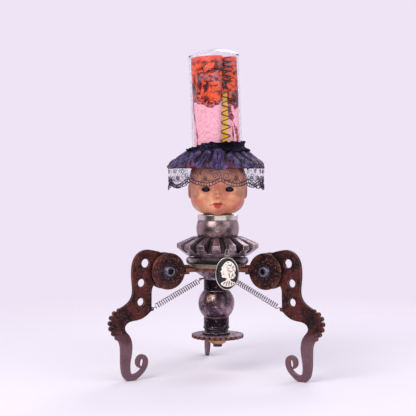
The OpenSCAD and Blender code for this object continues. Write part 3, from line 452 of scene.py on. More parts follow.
def skin_material():
    """Painted doll's head, with blush, lips, brows, lashes and painted hair, crazed and rubbed with age;
    painted highlights and painted shade lie over its skin
    """
    material, net, shader = new_material("painted doll skin")
    place = net.vector("SUBTRACT", net.object_place(), (AXIS.x, AXIS.y, CHIN_Z))
    side = net.node("ShaderNodeVectorMath", {0: place}, operation="ABSOLUTE").outputs[0]
    _, y, z = net.axes(place)
    half_x = net.axes(side)[0]
    half = net.node("ShaderNodeCombineXYZ", {0: half_x, 1: y, 2: z}).outputs[0]
    wobble = net.minus(net.noise(place, 70.0, 4.0), 0.5)

    def paint(under, centre, radii, colour, amount, inner=0.0, outer=1.0, both=False):
        """Paints a soft spot over the skin, given in millimetres from the chin"""
        centre, radii = [c * MM for c in centre], [r * MM for r in radii]
        spot = net.spot(half if both else place, centre, radii, inner, outer)
        return net.over(under, spot, amount, colour)

    mottle = net.span(net.noise(place, 42.0, 4.0), 0.36, 0.64)
    colour = net.mix(mottle, rgb(230, 166, 126), rgb(198, 118, 92))
    # Painted shade: the face darker and redder towards its sides
    flank_shade = net.span(net.plus(half_x, net.times(wobble, 8 * MM)), 26 * MM, 38 * MM)
    colour = net.over(colour, flank_shade, 0.55, rgb(164, 80, 62))
    # Painted highlights on the cheeks under the eyes
    colour = paint(colour, (-22, -36, 27), (9, 12, 7), rgb(238, 186, 136), 0.75)
    colour = paint(colour, (22, -36, 26), (10, 12, 6), rgb(236, 180, 134), 0.65)
    # Painted light on the forehead, where the hat's brim shades it
    colour = paint(colour, (0, -30, 56), (36, 24, 22), rgb(255, 180, 156), 0.85)
    colour = paint(colour, (26, -24, 17.5), (11, 18, 9), rgb(176, 66, 48), 0.9)
    colour = paint(colour, (-23, -26, 17.5), (12, 18, 9), rgb(206, 96, 78), 0.75)
    colour = paint(colour, (0, -34, 5), (24, 18, 9), rgb(190, 98, 82), 0.65)
    colour = paint(colour, (0, -44, 25.4), (6.8, 9, 4.2), rgb(184, 74, 58), 0.8)
    # Painted highlights on the nose's tip and bridge
    colour = paint(colour, (0, -44, 27), (2.6, 6, 2.2), rgb(244, 180, 152), 0.7)
    colour = paint(colour, (-1, -44, 32), (8, 10, 3), rgb(252, 206, 180), 0.6)
    # Painted shadow between the eyes, under the lace
    colour = paint(colour, (0, -40, 40), (10, 10, 5.5), rgb(190, 92, 72), 0.6)
    colour = paint(colour, (41, 3, 32), (7, 12, 13), rgb(168, 66, 50), 0.75, 0.4, 1.0, both=True)
    # Painted shade in the fold between each ear and the head
    colour = paint(colour, (37.5, 0, 32), (1.6, 12, 11), rgb(110, 36, 30), 0.6, 0.2, 1.0, both=True)
    # Painted shade round the eyes
    colour = paint(colour, (16, -36, 36), (8.5, 12, 6), rgb(190, 100, 76), 0.35, 0.5, 1.0, both=True)
    # Painted shadows at the mouth's corners
    colour = paint(colour, (9, -38, 14.0), (4.6, 9, 1.7), rgb(160, 58, 44), 0.75, 0.0, 1.0, both=True)
    colour = paint(colour, (2.9, -41, 15.4), (4.5, 9, 2.3), rgb(128, 14, 18), 0.97, 0.75, 1.05, both=True)
    colour = paint(colour, (0, -41, 12.0), (5.6, 9, 2.8), rgb(196, 36, 24), 0.97, 0.7, 1.05)
    colour = paint(colour, (0, -41, 14.2), (6.2, 9, 0.7), rgb(84, 8, 14), 0.9, 0.5, 1.0)
    colour = paint(colour, (2.1, -44, 23.3), (1.1, 6, 0.8), rgb(120, 36, 32), 0.75, 0.6, 1.0, both=True)
    brow_line = net.place(half, location=(-16.5 * MM, 36 * MM, -45.5 * MM), rotation=(0, 0.12, 0))
    brow = net.spot(brow_line, (0, 0, 0), (8 * MM, 14 * MM, 0.9 * MM), 0.2, 1.0)
    colour = net.over(colour, brow, 0.7, rgb(120, 60, 40))
    colour = paint(colour, (16.4, -40, 38.8), (6.6, 7, 0.8), rgb(44, 22, 22), 0.9, 0.5, 1.0, both=True)
    back = net.times(net.plus(y, 24 * MM), 0.75)
    hairline = net.plus(net.minus(z, 61 * MM), net.most(back, 0.0))
    hairline = net.plus(hairline, net.times(wobble, 9 * MM))
    hair = net.span(hairline, 0.0, 5 * MM)
    strand = net.noise(net.place(place, scale=(1.0, 1.0, 0.16)), 420.0, 2.0)
    colour = net.over(colour, hair, 0.85, net.mix(strand, rgb(150, 74, 48), rgb(96, 42, 32)))
    pull = net.vector("SUBTRACT", net.noise(place, 180.0, 3.0, out=1), (0.5, 0.5, 0.5))
    bent = net.vector("ADD", place, net.vector("MULTIPLY", pull, (9 * MM, 9 * MM, 9 * MM)))
    crack = net.span(net.cells(bent, 95.0, "DISTANCE_TO_EDGE"), 0.02, 0.0)
    crack = net.times(crack, net.span(net.noise(place, 34.0), 0.56, 0.72))
    colour = net.over(colour, crack, 0.35, rgb(122, 60, 44))
    dirt_and_shade = net.group(PATCHES, Place=place, Scale=90.0, Amount=0.4, Softness=0.12)
    colour = net.over(colour, dirt_and_shade["Mask"], 0.4, rgb(170, 100, 80))
    height = net.minus(net.times(net.noise(place, 260.0, 4.0), 1.1), crack)
    height = net.plus(height, net.times(net.times(hair, strand), 2.0))
    net.fill(shader, Base_Color=colour, Roughness=net.blend(dirt_and_shade["Detail"], 0.24, 0.5),
             Specular_IOR_Level=0.35, Coat_Weight=0.2, Coat_Roughness=0.22,
             Normal=net.bump(height, 0.3 * MM, 0.6))
    return material


def eye_material(centre_x):
    """A glass doll's eye: near black, with a grey-blue ring round its pupil"""
    material, net, shader = new_material(f"doll eye at {'left' if centre_x < 0 else 'right'}")
    centre = (AXIS.x + centre_x, AXIS.y - 39 * MM, CHIN_Z + 35.7 * MM)
    place = net.object_place()
    rays = net.noise(net.place(place, scale=(1, 0.1, 1)), 900.0, 2.0)
    colour = net.mix(rays, rgb(8, 8, 18), rgb(20, 20, 40))
    ring = net.spot(place, centre, (2.7 * MM, 9 * MM, 2.3 * MM), 0.45, 1.0)
    pupil = net.spot(place, centre, (1.3 * MM, 9 * MM, 1.3 * MM), 0.8, 1.0)
    colour = net.over(colour, ring, 0.85, net.mix(rays, rgb(34, 44, 60), rgb(70, 84, 94)))
    colour = net.mix(pupil, colour, rgb(5, 5, 9))
    net.fill(shader, Base_Color=colour, Roughness=net.blend(rays, 0.1, 0.18), Specular_IOR_Level=0.12,
             Coat_Weight=0.12, Coat_Roughness=0.03)
    return material


def satin_material():
    """Dark navy satin with painted violet highlights in patches and painted shade in its creases and
    hollows, with its weave on the cloth's own map
    """
    material, net, shader = new_material("navy satin")
    flat = net.uv()
    place = net.object_place()
    keys = {"Vector": flat, "Scale": 620.0, "Distortion": 0.6}
    weft = net.node("ShaderNodeTexWave", keys, bands_direction="Y")
    threads = net.noise(net.place(flat, scale=(12, 1, 1)), 300.0, 3.0)
    creases = net.noise(net.place(flat, scale=(1, 0.4, 1)), 190.0, 4.0, 0.6)
    # Darker in the hollows of the fine creases: painted shade
    colour = net.mix(net.span(creases, 0.42, 0.6), rgb(9, 5, 15), rgb(70, 54, 102))
    # Painted violet highlights in patches
    pale_patches = net.group(PATCHES, Place=place, Scale=90.0, Amount=0.42, Softness=0.1)
    colour = net.over(colour, pale_patches["Mask"], 0.65, rgb(136, 110, 186))
    # Painted shade in the creases between the pleats and where they tuck in under the band
    fold_shade = net.node("ShaderNodeAttribute", attribute_name="crease").outputs["Fac"]
    ragged = net.plus(fold_shade, net.times(net.minus(creases, 0.5), 0.9))
    colour = net.mix(net.span(ragged, 0.3, 0.6), colour, rgb(2, 1, 4))
    colour = net.over(colour, threads, 0.35, rgb(24, 18, 34))
    hem = net.span(net.axes(flat)[1], 30 * MM, 40 * MM)
    hem = net.times(hem, net.span(net.noise(place, 64.0), 0.48, 0.56))
    colour = net.over(colour, hem, 0.7, rgb(104, 24, 34))
    # Painted shade in the hollows
    fade = net.group(EDGES, Width=0.5 * MM, Reach=9 * MM, Place=place)["Corner"]
    colour = net.over(colour, fade, 0.9, rgb(6, 4, 10))
    height = net.plus(net.times(weft.outputs["Fac"], 0.3), threads)
    fine = net.bump(height, 0.15 * MM, 0.5)
    net.fill(shader, Base_Color=colour, Roughness=net.blend(threads, 0.28, 0.48), Specular_IOR_Level=0.3,
             Sheen_Weight=0.1, Sheen_Roughness=0.4, Sheen_Tint=rgb(150, 140, 200),
             Normal=net.bump(creases, 1.6 * MM, 0.7, fine))
    return material


def elastic_material():
    """Black gathered elastic, frayed, with painted violet highlights in streaks and painted shade in its
    hollows
    """
    material, net, shader = new_material("black elastic")
    flat = net.uv()
    place = net.object_place()
    ruck = net.noise(net.place(flat, scale=(1, 0.4, 1)), 420.0, 4.0, 0.65)
    threads = net.noise(net.place(flat, scale=(1, 8, 1)), 500.0, 3.0)
    streaks = net.noise(net.place(flat, scale=(0.35, 1.4, 1)), 420.0, 3.0)
    # Painted violet highlights along streaks
    lit = net.times(net.span(net.noise(place, 58.0), 0.4, 0.6), net.span(streaks, 0.42, 0.62))
    # Darker in the ruck's hollows: painted shade
    colour = net.mix(net.span(ruck, 0.44, 0.68), rgb(3, 2, 5), rgb(30, 22, 40))
    colour = net.over(colour, lit, 0.6, rgb(104, 90, 128))
    colour = net.over(colour, threads, 0.4, rgb(8, 6, 10))
    # Painted shade in the deepest hollows
    hollow_shade = net.group(EDGES, Width=0.3 * MM, Reach=4 * MM, Place=place)["Corner"]
    colour = net.over(colour, hollow_shade, 0.8, rgb(3, 2, 5))
    net.fill(shader, Base_Color=colour, Roughness=net.blend(threads, 0.5, 0.8), Specular_IOR_Level=0.08,
             Sheen_Weight=0.05, Sheen_Roughness=0.5, Sheen_Tint=rgb(150, 120, 200),
             Normal=net.bump(net.plus(ruck, threads), 1.2 * MM, 1.0))
    return material


def thread_colour(net, place):
    """Faded black with a violet cast"""
    return net.mix(net.noise(place, 300.0, 2.0), rgb(34, 20, 42), rgb(70, 50, 86))


def lace_material():
    """Net ground of the lace with sprigs, open between its threads"""
    material, net, shader = new_material("black lace net")
    flat = net.uv()
    u, v, _ = net.axes(flat)
    pitch, thread = 2.6 * MM, 0.08
    lines = None
    for slope in (0.62, -0.62):
        run = net.plus(u, net.times(v, slope))
        wave = net.math("ABSOLUTE", net.math("SINE", net.times(run, math.pi / pitch)))
        line = net.math("LESS_THAN", wave, thread)
        lines = line if lines is None else net.most(lines, line)
    keys = {"Vector": flat, "Scale": 105.0, "Randomness": 0.8}
    petal = net.node("ShaderNodeTexVoronoi", keys).outputs["Distance"]
    ring = net.math("LESS_THAN", net.math("ABSOLUTE", net.minus(petal, 0.36)), 0.016)
    lines = net.most(lines, ring)
    lines = net.most(lines, net.math("LESS_THAN", v, 1.4 * MM))
    net.fill(shader, Alpha=lines, Base_Color=thread_colour(net, net.object_place()),
             Roughness=net.blend(petal, 0.6, 0.8), Specular_IOR_Level=0.2,
             Normal=net.bump(net.noise(flat, 1500.0), 0.1 * MM, 0.4))
    return material


def cord_material():
    """Twisted black thread of the lace's outlines"""
    material, net, shader = new_material("black lace cord")
    place = net.object_place()
    twist = net.noise(place, 1800.0, 2.0)
    net.fill(shader, Base_Color=thread_colour(net, place), Roughness=net.blend(twist, 0.5, 0.75),
             Specular_IOR_Level=0.25, Normal=net.bump(twist, 0.1 * MM, 0.6))
    return material


def print_material(height):
    """Marbled paper: torn reds above, a pink field below with wine-red strokes, and a plain yellow stripe"""
    material, net, shader = new_material("marbled print")
    flat = net.uv()
    u, v, _ = net.axes(flat)
    swirl = flat
    for scale, size in ((38.0, 24 * MM), (150.0, 8 * MM)):
        pull = net.vector("SUBTRACT", net.noise(flat, scale, 3.0, out=1), (0.5, 0.5, 0.5))
        swirl = net.vector("ADD", swirl, net.vector("MULTIPLY", pull, (size, size * 0.8, 0)))
    tone = net.noise(swirl, 74.0, 4.0, 0.62)
    red = net.ramp(tone, [
        (0.0, rgb(18, 5, 12)), (0.4, rgb(34, 6, 16)), (0.44, rgb(110, 18, 28)), (0.475, rgb(248, 78, 34)),
        (0.53, rgb(255, 108, 52)), (0.55, rgb(186, 34, 28)), (0.58, rgb(50, 8, 20)), (0.63, rgb(96, 18, 30)),
        (0.66, rgb(250, 100, 54)), (0.74, rgb(150, 36, 40)), (1.0, rgb(250, 190, 176)),
    ])
    torn = net.axes(net.cells(swirl, 95.0, out=1))[0]
    red = net.over(red, net.span(torn, 0.7, 0.72), 0.75, rgb(252, 96, 46))
    red = net.over(red, net.span(torn, 0.3, 0.28), 0.8, rgb(36, 6, 18))
    grey = net.times(net.span(net.noise(swirl, 52.0, 3.0), 0.58, 0.61), 0.55)
    red = net.mix(grey, red, net.mix(net.noise(swirl, 260.0), rgb(96, 78, 90), rgb(176, 156, 164)))
    ink = net.span(net.noise(swirl, 190.0, 4.0, 0.7), 0.52, 0.57)
    red = net.over(red, ink, 0.8, rgb(44, 14, 26))
    wash = net.span(v, height * 0.93, height * 0.985)
    red = net.over(red, wash, 0.85, rgb(236, 96, 84))
    wave = net.math("SINE", net.times(u, TURN / (52 * MM)))
    ragged = net.minus(net.noise(flat, 110.0, 4.0), 0.5)
    border = net.plus(height * 0.55, net.times(wave, 5 * MM))
    border = net.plus(border, net.times(ragged, 20 * MM))
    below = net.minus(border, v)
    pink = net.mix(net.span(net.noise(flat, 240.0, 4.0), 0.35, 0.65), rgb(250, 190, 194), rgb(236, 164, 174))
    dots = net.span(net.cells(flat, 170.0), 0.17, 0.1)
    dots = net.times(dots, net.span(net.noise(flat, 75.0), 0.46, 0.56))
    pink = net.over(pink, dots, 0.8, rgb(130, 50, 80))
    bark = net.mix(net.span(net.noise(swirl, 240.0, 3.0), 0.42, 0.6), rgb(86, 24, 42), rgb(206, 112, 112))
    for start, bend, length, width in ((64, 4, 15, 3.4), (136, 5, 13, 4.6), (126, 7, 21, 1.6)):
        turn = net.math("SINE", net.times(v, 1 / (length * MM)))
        course = net.plus(start * MM, net.times(turn, bend * MM))
        away = net.math("ABSOLUTE", net.minus(u, course))
        room = net.times(net.span(net.noise(flat, 60.0), 0.3, 0.7), width * MM)
        pink = net.mix(net.math("LESS_THAN", away, room), pink, bark)
    colour = net.mix(net.span(below, 0.0, 0.5 * MM), red, bark)
    colour = net.mix(net.span(below, 5.0 * MM, 5.5 * MM), colour, pink)
    place = net.axes(net.vector("SUBTRACT", net.object_place(), AXIS + Vector((0, 0, CROWN_TOP_Z))))
    across = net.plus(place[0], net.times(place[2], math.tan(LEAN)))
    away = net.minus(across, net.plus(10.4 * MM, net.times(v, 0.034)))
    room = net.minus(4.7 * MM, net.times(v, 0.02))
    stripe = net.math("LESS_THAN", net.math("ABSOLUTE", away), room)
    stripe = net.times(stripe, net.span(v, height * 0.64, height * 0.62))
    stripe = net.times(stripe, net.math("LESS_THAN", place[1], 0.0))
    colour = net.mix(stripe, colour, net.mix(net.noise(flat, 160.0), rgb(255, 222, 76), rgb(255, 202, 44)))
    fibre = net.noise(flat, 1500.0, 3.0)
    net.fill(shader, Base_Color=net.over(colour, fibre, 0.08, rgb(120, 70, 60)),
             Roughness=net.blend(fibre, 0.42, 0.6), Specular_IOR_Level=0.12,
             Normal=net.bump(fibre, 0.1 * MM, 0.3))
    return material


def glass_material():
    """Clear pressed glass with faint waves and a few scratches; lamps reach what stands in it"""
    material, net, shader = new_material("clear glass")
    place = net.object_place()
    lines = net.group(SCRATCHES, Place=place, Scale=50.0)["Mask"]
    waves = net.noise(net.place(place, scale=(1, 1, 0.35)), 60.0, 2.0)
    net.fill(shader, Base_Color=rgb(250, 250, 254), Transmission_Weight=1.0, IOR=1.06, Coat_Weight=0.25,
             Coat_Roughness=0.01, Roughness=net.blend(lines, 0.0, 0.12),
             Normal=net.bump(waves, 0.3 * MM, 0.2))
    out = next(n for n in material.node_tree.nodes if n.type == "OUTPUT_MATERIAL")
    solid = out.inputs["Surface"].links[0].from_socket
    clear = net.node("ShaderNodeBsdfTransparent", {"Color": rgb(244, 242, 248)}).outputs[0]
    shadow = net.node("ShaderNodeLightPath").outputs["Is Shadow Ray"]
    both = net.node("ShaderNodeMixShader", {0: shadow, 1: solid, 2: clear}).outputs[0]
    net.set(out.inputs["Surface"], both)
    return material


def wood_material(name, light, dark):
    """Plain turned wood, hidden inside the head"""
    material, net, shader = new_material(name)
    place = net.object_place()
    keys = {"Vector": place, "Scale": 90.0, "Distortion": 6.0, "Detail": 3.0}
    rings = net.node("ShaderNodeTexWave", keys).outputs["Fac"]
    net.fill(shader, Base_Color=net.mix(rings, light, dark), Roughness=net.blend(rings, 0.5, 0.7),
             Normal=net.bump(rings, 0.15 * MM, 0.5))
    return material


def cameo_material(name, light, dark, gloss):
    """The cameo's carved ivory or its dark ground, with painted shade in its cuts"""
    material, net, shader = new_material(name)
    place = net.object_place()
    hollow_shade = net.group(EDGES, Width=0.3 * MM, Reach=1.2 * MM, Place=place)["Corner"]
    colour = net.mix(net.noise(place, 240.0, 4.0), light, dark)
    # Painted shade in the cuts
    colour = net.over(colour, hollow_shade, 0.75, darker(dark, 0.3))
    net.fill(shader, Base_Color=colour, Roughness=net.blend(net.noise(place, 500.0), gloss, gloss + 0.2),
             Normal=net.bump(net.noise(place, 900.0), 0.08 * MM, 0.4))
    return material


# After their colours: amounts of stains and rust, gloss, scale, metal, grit, and what differs from the usual
METALS = {
    "washer": old_metal("dark washer", [(56, 32, 37), (18, 10, 15), (72, 33, 30), (224, 160, 134)],
                        0.5, 0.3, (0.26, 0.5), 60.0, 0.75, 0.5, 1.2 * MM, 0.6, 0.8, shade=disc_shade),
    "nut": old_metal("nut steel", [(142, 136, 160), (96, 90, 112), (112, 78, 68), (232, 226, 242)],
                     0.4, 0.12, (0.22, 0.42), 120.0, 1.0, 0.25, 0.6 * MM, 0.9),
    "pipe": old_metal("pipe steel", [(96, 84, 92), (54, 44, 52), (104, 62, 50), (190, 180, 194)],
                      0.5, 0.2, (0.3, 0.5), 110.0, 1.0, 0.35),
    "spring": old_metal("spring steel", [(34, 26, 31), (18, 12, 17), (72, 46, 40), (170, 154, 166)],
                        0.45, 0.1, (0.3, 0.5), 200.0, 0.5, 0.15, 0.1 * MM, 0.0, shade=spring_shade),
    "hub": old_metal("rusty hub plate", [(116, 72, 64), (68, 44, 44), (166, 92, 64), (196, 128, 92)],
                     0.5, 0.5, (0.45, 0.7), 60.0, 0.4, 0.7, 0.7 * MM, 0.8),
    "sprocket": old_metal("sprocket", [(136, 108, 120), (96, 58, 54), (132, 62, 44), (206, 138, 108)],
                          0.55, 0.45, (0.3, 0.55), 60.0, 0.6, 0.5, 0.8 * MM, 0.97, reach=5 * MM,
                          shade=sprocket_shade),
    "brass": old_metal("old brass", [(190, 148, 96), (132, 98, 62), (96, 72, 48), (240, 208, 156)],
                       0.4, 0.2, (0.25, 0.45), 90.0, 1.0, 0.3),
    "post": old_metal("post iron", [(172, 142, 156), (76, 56, 66), (130, 98, 88), (236, 220, 232)],
                      0.55, 0.24, (0.2, 0.42), 40.0, 1.0, 0.45, 1.2 * MM, 0.8, 0.6, shade=post_shade),
    "collar": old_metal("collar steel", [(166, 146, 158), (104, 86, 98), (104, 66, 56), (236, 226, 238)],
                        0.45, 0.22, (0.22, 0.42), 80.0, 1.0, 0.3, 0.8 * MM, 0.95),
    "lid": old_metal("tin lid", [(146, 130, 118), (88, 72, 66), (98, 64, 50), (244, 236, 218)],
                     0.45, 0.24, (0.35, 0.55), 70.0, 0.8, 0.3, 0.9 * MM, 0.9),
    "ribs": old_metal("black ribbed disc", [(36, 29, 33), (20, 15, 19), (80, 56, 48), (190, 174, 178)],
                      0.5, 0.2, (0.35, 0.55), 90.0, 0.7, 0.4, 0.5 * MM, 0.9),
    "lobes": old_metal("lobed spacer", [(168, 152, 164), (118, 100, 112), (108, 78, 70), (236, 228, 240)],
                       0.4, 0.16, (0.38, 0.6), 70.0, 0.9, 0.35, 1.0 * MM, 0.95),
    "gear": old_metal("gear steel", [(186, 160, 170), (108, 84, 92), (128, 82, 68), (252, 240, 250)],
                      0.5, 0.18, (0.24, 0.46), 52.0, 1.0, 0.4, 1.5 * MM, 1.0, 0.5, 12 * MM),
    "barrel": old_metal("neck steel", [(154, 130, 132), (100, 80, 86), (110, 78, 70), (232, 220, 226)],
                        0.45, 0.14, (0.18, 0.36), 50.0, 1.0, 0.3, 0.8 * MM, 0.9, 0.45),
    "band": old_metal("polished band", [(222, 208, 200), (176, 160, 154), (140, 110, 92), (248, 240, 232)],
                      0.35, 0.1, (0.12, 0.28), 60.0, 1.0, 0.15, 0.6 * MM, 0.7, 0.3),
    "wire": old_metal("thin wire", [(112, 94, 90), (60, 48, 48), (96, 64, 52), (198, 180, 174)],
                      0.45, 0.15, (0.25, 0.45), 200.0, 1.0, 0.2, 0.2 * MM, 0.6),
    "silver": old_metal("pendant silver", [(214, 204, 194), (150, 136, 128), (120, 98, 84), (250, 244, 236)],
                        0.35, 0.1, (0.16, 0.34), 160.0, 1.0, 0.2, 0.4 * MM, 0.8, 0.3),
    "old spring": old_metal("old spring", [(60, 48, 50), (32, 24, 28), (84, 52, 42), (140, 124, 124)],
                            0.5, 0.2, (0.35, 0.55), 160.0, 0.8, 0.2, 0.3 * MM, 0.3),
    "plate": scroll_plate_material(),
}


# Meshes

# Edges of the solids that turn more than this are rounded
SHARP_EDGE = math.radians(28)


def linked(name, data):
    """A new object in the scene"""
    made = bpy.data.objects.new(name, data)
    bpy.context.scene.collection.objects.link(made)
    return made


def final_mesh(made):
    """A copy of the object's mesh with its modifiers applied"""
    return bpy.data.meshes.new_from_object(made.evaluated_get(bpy.context.evaluated_depsgraph_get()))


def finished(name, bm, material, sharp=38.0, recalculate=True):
    """A piece from a bmesh: smooth, but for edges sharper than the angle"""
    if recalculate:
        bmesh.ops.recalc_face_normals(bm, faces=bm.faces)
    mesh = bpy.data.meshes.new(name)
    bm.to_mesh(mesh)
    bm.free()
    mesh.shade_smooth()
    mesh.set_sharp_from_angle(angle=math.radians(sharp))
    mesh.materials.append(material)
    return linked(name, mesh)


def stands_for(made, node):
    """The piece replaces this CAD node and rides on its body"""
    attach(made, NODES[node]["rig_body"])
    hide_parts(node)


def round_edges(bm, edges, width, segments):
    bmesh.ops.bevel(bm, geom=edges, offset=width, offset_type="OFFSET", segments=segments, profile=0.5,
                    affect="EDGES", clamp_overlap=True, material=-1)


def softened(node, material, width):
    """A merged copy of a CAD piece with rounded edges"""
    bm = bmesh.new()
    bm.from_mesh(NODES[node].data)
    bmesh.ops.remove_doubles(bm, verts=bm.verts, dist=0.004 * MM)
    bmesh.ops.dissolve_limit(bm, angle_limit=math.radians(0.6), verts=bm.verts, edges=bm.edges)
    sharp = [e for e in bm.edges if e.is_manifold and e.calc_face_angle() > SHARP_EDGE]
    round_edges(bm, sharp, width, 2)
    made = finished(f"worn_{node}", bm, material, 30.0, recalculate=False)
    weighted = made.modifiers.new("flat faces", "WEIGHTED_NORMAL")
    weighted.keep_sharp = True
    stands_for(made, node)


def spun(profile, steps):
    """A hollow shape turned about Z from a closed line of points of radius and height"""
    bm = bmesh.new()
    points = [bm.verts.new((r, 0, z)) for r, z in profile]
    edges = [bm.edges.new(pair) for pair in zip(points, points[1:] + points[:1])]
    bmesh.ops.spin(bm, geom=points + edges, axis=(0, 0, 1), cent=(0, 0, 0), angle=TURN, steps=steps,
                   use_merge=True)
    bmesh.ops.remove_doubles(bm, verts=bm.verts, dist=0.001 * MM)
    return bm


def wires(name, paths, radius, material, closed=False, sides=2, matrix=None):
    """Round wires along lists of points; sides is the curve's bevel resolution"""
    curve = bpy.data.curves.new(name, "CURVE")
    curve.dimensions = "3D"
    curve.bevel_depth = radius
    curve.bevel_resolution = sides
    curve.use_fill_caps = True
    for path in paths:
        spline = curve.splines.new("POLY")
        spline.points.add(len(path) - 1)
        for point, co in zip(spline.points, path):
            point.co = (*co, 1.0)
        spline.use_cyclic_u = closed
    holder = linked(name, curve)
    bpy.context.view_layer.update()
    mesh = final_mesh(holder)
    bpy.data.objects.remove(holder)
    bpy.data.curves.remove(curve)
    if matrix is not None:
        mesh.transform(matrix)
    bm = bmesh.new()
    bm.from_mesh(mesh)
    bmesh.ops.remove_doubles(bm, verts=bm.verts, dist=radius * 0.02)
    return finished(name, bm, material, 60.0)


def sheet_of_cloth(around, down, place, size):
    """A closed skirt of cloth: place(u, v) gives a point, and its flat map is in metres of the cut cloth"""
    bm = bmesh.new()
    flat = bm.loops.layers.uv.new("flat")
    column = bm.verts.layers.int.new("column")
    row = bm.verts.layers.int.new("row")
    bmesh.ops.create_grid(bm, x_segments=around, y_segments=down, size=0.5)
    for vert in bm.verts:
        u, v = vert.co.x + 0.5, 0.5 - vert.co.y
        vert[column], vert[row] = round(u * around), round(v * down)
        for loop in vert.link_loops:
            loop[flat].uv = (u * size[0], v * size[1])
    for vert in bm.verts:
        vert.co = place(vert[column] / around, vert[row] / down)
    bmesh.ops.remove_doubles(bm, verts=bm.verts, dist=0.001 * MM)
    for vert in bm.verts:
        vert[column] %= around
    return bm


def grid_points(mesh, around, down):
    """The skirt's points by column and row"""
    count = len(mesh.vertices)
    co = np.empty(count * 3)
    mesh.vertices.foreach_get("co", co)
    column, row = np.empty(count, np.int32), np.empty(count, np.int32)
    mesh.attributes["column"].data.foreach_get("value", column)
    mesh.attributes["row"].data.foreach_get("value", row)
    points = np.empty((around, down + 1, 3))
    points[column, row] = co.reshape(-1, 3)
    return points


# The cloth solver works better on a skirt ten times as large
SIM_SCALE = 10.0


def settle(made, held_rows, frames, support=None, bend=4.0, weight=0.3):
    """Hangs the cloth for some frames from its first rows, at ten times its size, and keeps the result"""
    mesh = made.data
    row = np.empty(len(mesh.vertices), np.int32)
    mesh.attributes["row"].data.foreach_get("value", row)
    held = made.vertex_groups.new(name="held")
    held.add([int(i) for i in np.nonzero(row <= held_rows)[0]], 1.0, "REPLACE")
    grow = Matrix.Scale(SIM_SCALE, 4)
    mesh.transform(grow)
    if support:
        support.data.transform(grow)
        support.modifiers.new("support", "COLLISION")
        support.collision.thickness_outer = 0.008
        support.collision.cloth_friction = 12.0
    cloth = made.modifiers.new("cloth", "CLOTH")
    cloth.settings.quality = 6
    cloth.settings.mass = weight
    cloth.settings.air_damping = 3.0
    cloth.settings.tension_stiffness = 30.0
    cloth.settings.compression_stiffness = 30.0
    cloth.settings.shear_stiffness = 12.0
    cloth.settings.bending_stiffness = bend
    cloth.settings.vertex_group_mass = "held"
    cloth.collision_settings.use_collision = support is not None
    cloth.collision_settings.use_self_collision = False
    cloth.collision_settings.distance_min = 0.006
    cloth.point_cache.frame_start = 1
    cloth.point_cache.frame_end = frames
    scene = bpy.context.scene
    for at in range(1, frames + 1):
        scene.frame_set(at)
    settled = final_mesh(made)
    made.modifiers.remove(cloth)
    scene.frame_set(1)
    settled.transform(Matrix.Scale(1 / SIM_SCALE, 4))
    made.data = settled
    made.vertex_groups.clear()
    if support:
        bpy.data.objects.remove(support)


def thicken(made, thickness, offset=0.0):
    solid = made.modifiers.new("thickness", "SOLIDIFY")
    solid.thickness = thickness
    solid.offset = offset


# Hat

# Places of the creases between the pleats, in degrees from the front, to the right
CREASES = (
    -180, -163, -146, -128, -113, -94, -79, -61, -46, -29, -11, 11, 27, 41, 58, 73, 92, 108, 127, 144, 162,
)
FRONT_PLEAT = 10
FRONT = math.radians(-88)
RUFFLE_ROOT_Z = CROWN_TOP_Z + 5.5 * MM
RUFFLE_DROP = 23.5 * MM
# Run and length of the satin's flat map
RUFFLE_RUN = 47 * MM
RUFFLE_LENGTH = 0.62
RUFFLE_AROUND, RUFFLE_DOWN = 480, 20
BAND_R = 37.7 * MM
# Share of the way out and of the way down, from the band to the ruffle's edge
RUFFLE_SECTION = [(0, 0), (0.32, 0.12), (0.62, 0.29), (0.84, 0.48), (0.96, 0.72), (1, 1)]


def on_section(section, v):
    """The two values at this share of the way along a line of pairs"""
    stops = np.linspace(0, 1, len(section))
    return (np.interp(v, stops, values) for values in zip(*section))


def hat_angle(u):
    """Angle round the post, with the cloth's seam at the back"""
    return TURN * (u + 0.25)


def uneven(angle):
    """Makes folds uneven round the hat, by shares of a radian"""
    return 1.3 * math.sin(3 * angle + 1) + 0.9 * math.sin(7 * angle + 2.3) + 0.5 * math.sin(11 * angle)


def pleat(angle):
    """Number of the pleat at this angle, the share of the way across it, and its width in radians"""
    turned = math.degrees(angle - FRONT + math.pi) % 360 - 180
    number = sum(1 for crease in CREASES if crease <= turned) - 1
    low, high = (*CREASES, 180)[number:number + 2]
    return number, (turned - low) / (high - low), math.radians(high - low)


def ruffle_point(u, v, folded=1.0, below=0.0):
    """Broad rounded pleats with narrow creases between them, and finer gathers near the band"""
    angle = hat_angle(u)
    reach = (66.8 - 2.8 * math.cos(angle)) * MM + 0.8 * MM * math.sin(5 * angle + 1)
    along, fall = on_section(RUFFLE_SECTION, v)
    root = BAND_R - 0.6 * MM - 5.5 * MM * math.sin(LEAN) * math.cos(angle)
    number, share, width = pleat(angle)
    puff = 1.35 if number == FRONT_PLEAT else 0.85 + 0.25 * math.sin(5 * number)
    ridge = 2 * puff * min(1.2, width / 0.3) * max(0.0, math.sin(math.pi * share)) ** 0.6 - 1
    turn = TURN * share
    fine = (0.8 - 0.3 * v) * MM * math.cos(3 * turn + 4 * v) + 0.3 * MM * math.cos(7 * turn + 6 * v)
    lift = folded * ((2.0 + 3.4 * v) * MM * ridge + fine)
    radius = root + (reach - root) * along + lift * (0.3 + 0.45 * v)
    height = RUFFLE_ROOT_Z - RUFFLE_DROP * fall + lift * (0.95 - 0.5 * v) - below
    return Vector((AXIS.x + radius * math.cos(angle), AXIS.y + radius * math.sin(angle), height))


